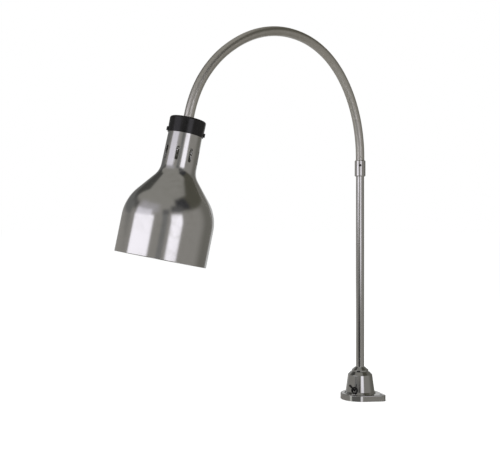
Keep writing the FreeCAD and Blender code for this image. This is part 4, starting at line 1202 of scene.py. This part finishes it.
# %% [markdown]
# ## The studio
#
# Polished metal looks like whatever stands round it, so the studio matters as much as the finish.
# A glowing sphere about the head stands in for the room. Its zones are painted by turn and
# elevation: two large soft boxes to the sides of the camera, darker gaps beside and above them, a
# warm grey ceiling, and the table below with a strip of light at either side. Only reflections see
# the sphere, and they see nothing else of the studio. The eye sees a white floor and background,
# and three area lights give the floor its soft shadow.

# %% Zones of the sphere
DOME_RADIUS = 1.6
ROOM_GREY = (0.285, 0.275, 0.26)
HEAD_PLACE = np.array(cap_face) + 0.12 * head_axis


def soft_edge(distance, width):
    """1 up to distance 0, falling smoothly to 0 over a width beyond it."""
    share = np.clip(1 - distance / width, 0, 1)
    return share * share * (3 - 2 * share)


# Painted in order. Each is (middle turn, half width, edge) and (bottom, top, edge) in degrees, then
# red, green and blue. A turn is counted from the camera's side, positive to the image's right.
ROOM = {
    "ceiling": ((0, 180, 1), (50, 90, 14), (0.275, 0.268, 0.25)),
    "upper left gap": ((-146, 14, 14), (28, 54, 8), (0.065, 0.065, 0.06)),
    "left gap": ((-114, 18, 10), (27, 33, 7), (0.09, 0.09, 0.088)),
    "lower left gap": ((-135, 20, 20), (14, 26, 8), (0.15, 0.15, 0.148)),
    "upper right gap": ((100, 45, 18), (30, 55, 8), (0.088, 0.085, 0.068)),
    "right gap": ((46, 14, 14), (33, 52, 9), (0.040, 0.040, 0.044)),
    "beside the right box": ((26, 10, 14), (27, 36, 8), (0.085, 0.085, 0.085)),
    "right wall": ((128, 14, 34), (-30, 24, 8), (0.165, 0.16, 0.145)),
    "camera": ((-6, 3, 7), (0, 18, 4), (0.19, 0.19, 0.19)),
    "above the camera": ((-4, 4, 10), (21, 28, 6), (0.125, 0.125, 0.125)),
    "low front": ((-38, 18, 10), (-24, -7, 3), (0.16, 0.16, 0.158)),
    "tripod": ((-8, 4, 4), (-10, -7, 3), (0.05, 0.05, 0.05)),
    "under the table": ((-30, 28, 12), (-23, -17, 7), (0.02, 0.02, 0.02)),
    "table": ((-30, 40, 10), (-90, -28, 3), (0.14, 0.14, 0.135)),
    "left table light": ((-72, 5, 6), (-90, -26, 3), (0.65, 0.65, 0.62)),
    "right table light": ((13, 5, 5), (-90, -26, 3), (0.95, 0.94, 0.98)),
    "behind": ((172, 20, 12), (-14, 8, 8), (0.55, 0.55, 0.55)),
    "far edge": ((180, 14, 6), (-8, 2, 4), (0.13, 0.13, 0.125)),
    "glow": ((-55, 18, 24), (26, 40, 8), (0.40, 0.39, 0.41)),
    "left box, upper": ((-64, 19, 8), (13, 26, 5), (0.78, 0.76, 0.84)),
    "left box": ((-61.5, 24.5, 6), (0, 13, 5), (1.25, 1.22, 1.32)),
    "right box": ((22.5, 10.5, 6), (-6, 13, 8), (1.25, 1.22, 1.32)),
}


def dome_light(turn, elevation):
    """Brightness (red, green, blue) at a turn from the camera's side and an elevation, in degrees."""
    light = np.ones(turn.shape + (3,)) * np.array(ROOM_GREY)
    for (middle, half, side), (bottom, top, end), level in ROOM.values():
        across = np.abs((turn - middle + 180) % 360 - 180) - half
        along = np.abs(elevation - (bottom + top) / 2) - (top - bottom) / 2
        mask = (soft_edge(across, side) * soft_edge(along, end))[..., None]
        light = light * (1 - mask) + mask * np.array(level)
    return light


print("zones:", len(ROOM), "brightest:", max(max(level) for turns, heights, level in ROOM.values()))


# %% The sphere that reflections see
def dome_patch():
    """One-degree grid of a whole sphere, seen from within."""
    turn = np.linspace(-180, 180, 361)
    elevation = np.linspace(-90, 90, 181)
    azimuth = FRONT_AZIMUTH + np.radians(turn)
    rise = np.radians(elevation)[:, None]
    away = np.stack([np.cos(rise) * np.cos(azimuth), np.cos(rise) * np.sin(azimuth),
                     np.broadcast_to(np.sin(rise), (len(elevation), len(turn)))], -1)
    return HEAD_PLACE + DOME_RADIUS * away, -away, np.stack(np.meshgrid(turn, elevation), -1)


dome = surface_piece("studio_dome", [dome_patch()])
corner_angles = np.empty(2 * len(dome.data.loops), np.float32)
dome.data.uv_layers["surface"].data.foreach_get("uv", corner_angles)
shades = dome_light(*corner_angles.reshape(-1, 2).T)
layer = dome.data.color_attributes.new("brightness", "FLOAT_COLOR", "CORNER")
colours = np.column_stack([shades, np.ones(len(shades))])
layer.data.foreach_set("color", colours.astype(np.float32).reshape(-1))
glow = bpy.data.materials.new("studio_glow")
glow.use_nodes = True
glow.node_tree.nodes.clear()
brightness = glow.node_tree.nodes.new("ShaderNodeAttribute")
brightness.attribute_name = "brightness"
emission = glow.node_tree.nodes.new("ShaderNodeEmission")
output = glow.node_tree.nodes.new("ShaderNodeOutputMaterial")
glow.node_tree.links.new(brightness.outputs["Color"], emission.inputs["Color"])
glow.node_tree.links.new(emission.outputs[0], output.inputs["Surface"])
dome.data.materials.append(glow)
for ray in ("camera", "diffuse", "transmission", "volume_scatter", "shadow"):
    setattr(dome, f"visible_{ray}", False)
print("sphere faces:", len(dome.data.polygons))

# %% [markdown]
# ## Floor, background, lights and camera
#
# A product is often shown on a paper sweep that is lit until it is nearly white. More light would
# do that here too, but it would also wash out the shadow. So the floor is lit like anything else
# and keeps its shadow, and the eye also sees a share of plain white in it, so that its far edge
# melts into the background. The camera is level with the middle of the lamp's height, and its long
# lens keeps the post straight.

# %% Floor
FLOOR_HALF = 30.0
FLOOR_GREY = 0.8
FLOOR_WHITE = 1.46
FLOOR_WHITE_SHARE = 0.35

floor_mesh = bpy.data.meshes.new("studio_floor")
floor_mesh.from_pydata([(-FLOOR_HALF, -FLOOR_HALF, 0), (FLOOR_HALF, -FLOOR_HALF, 0),
                        (FLOOR_HALF, FLOOR_HALF, 0), (-FLOOR_HALF, FLOOR_HALF, 0)], [], [(0, 1, 2, 3)])
floor = bpy.data.objects.new("studio_floor", floor_mesh)
bpy.context.scene.collection.objects.link(floor)
white, tree, paper = new_finish("studio_white")
paper.inputs["Base Color"].default_value = (FLOOR_GREY, FLOOR_GREY, FLOOR_GREY, 1)
paper.inputs["Roughness"].default_value = 1.0
paper.inputs["Specular IOR Level"].default_value = 0.0
rays = tree.nodes.new("ShaderNodeLightPath")
shine = tree.nodes.new("ShaderNodeEmission")
shine.inputs["Strength"].default_value = FLOOR_WHITE
mix = tree.nodes.new("ShaderNodeMixShader")
tree.links.new(math_node(tree, "MULTIPLY", rays.outputs["Is Camera Ray"], FLOOR_WHITE_SHARE), mix.inputs[0])
tree.links.new(paper.outputs[0], mix.inputs[1])
tree.links.new(shine.outputs[0], mix.inputs[2])
tree.links.new(mix.outputs[0], tree.nodes["Material Output"].inputs["Surface"])
floor_mesh.materials.append(white)
floor.visible_glossy = False
print("floor:", 2 * FLOOR_HALF, "m square")

# %% Background
WORLD_LIGHT = 0.95
SEEN_EXTRA = 0.05           # what the eye sees beyond the world's light, which makes it white

world = bpy.data.worlds.new("studio_world")
world.use_nodes = True
bpy.context.scene.world = world
tree = world.node_tree
background = tree.nodes["Background"]
background.inputs["Color"].default_value = (1, 1, 1, 1)
rays = tree.nodes.new("ShaderNodeLightPath")
level = math_node(tree, "MULTIPLY_ADD", rays.outputs["Is Camera Ray"], SEEN_EXTRA, WORLD_LIGHT)
tree.links.new(level, background.inputs["Strength"])
print("background seen at:", WORLD_LIGHT + SEEN_EXTRA)

# %% Lights
LIGHT_AIM = (-0.25, 0.0, 0.3)
LIGHT_WATTS = 12.0
LIGHTS = {"left_box": ((-2.2, 1.0, 1.3), 1.2), "right_box": ((-0.8, -2.3, 1.3), 1.0),
          "top_box": ((-0.2, 0.1, 2.4), 1.8)}


def area_light(name, place, size):
    """Square area light that neither the camera nor reflections see."""
    data = bpy.data.lights.new(name, "AREA")
    data.shape = "SQUARE"
    data.size = size
    data.energy = LIGHT_WATTS
    light = bpy.data.objects.new(name, data)
    light.location = place
    light.rotation_euler = (Vector(LIGHT_AIM) - Vector(place)).to_track_quat("-Z", "Y").to_euler()
    light.visible_glossy = False
    light.visible_camera = False
    bpy.context.scene.collection.objects.link(light)


for name, (place, size) in LIGHTS.items():
    area_light(name, place, size)
print("lights:", list(LIGHTS))

# %% Camera
CAMERA_PLACE = (-1.4458, -1.0523, 0.3425)
CAMERA_HEADING = math.radians(46.98)    # from +Y towards +X
LENS_MM = 64.8

lens = bpy.data.cameras.new("camera")
lens.lens = LENS_MM
lens.sensor_width = 36.0
camera = bpy.data.objects.new("camera", lens)
camera.location = CAMERA_PLACE
aim = Vector((math.sin(CAMERA_HEADING), math.cos(CAMERA_HEADING), 0.0))
camera.rotation_euler = aim.to_track_quat("-Z", "Y").to_euler()
bpy.context.scene.collection.objects.link(camera)
bpy.context.scene.camera = camera
bpy.context.scene.view_settings.view_transform = "Standard"
print("camera at", CAMERA_PLACE, "lens", LENS_MM, "mm")
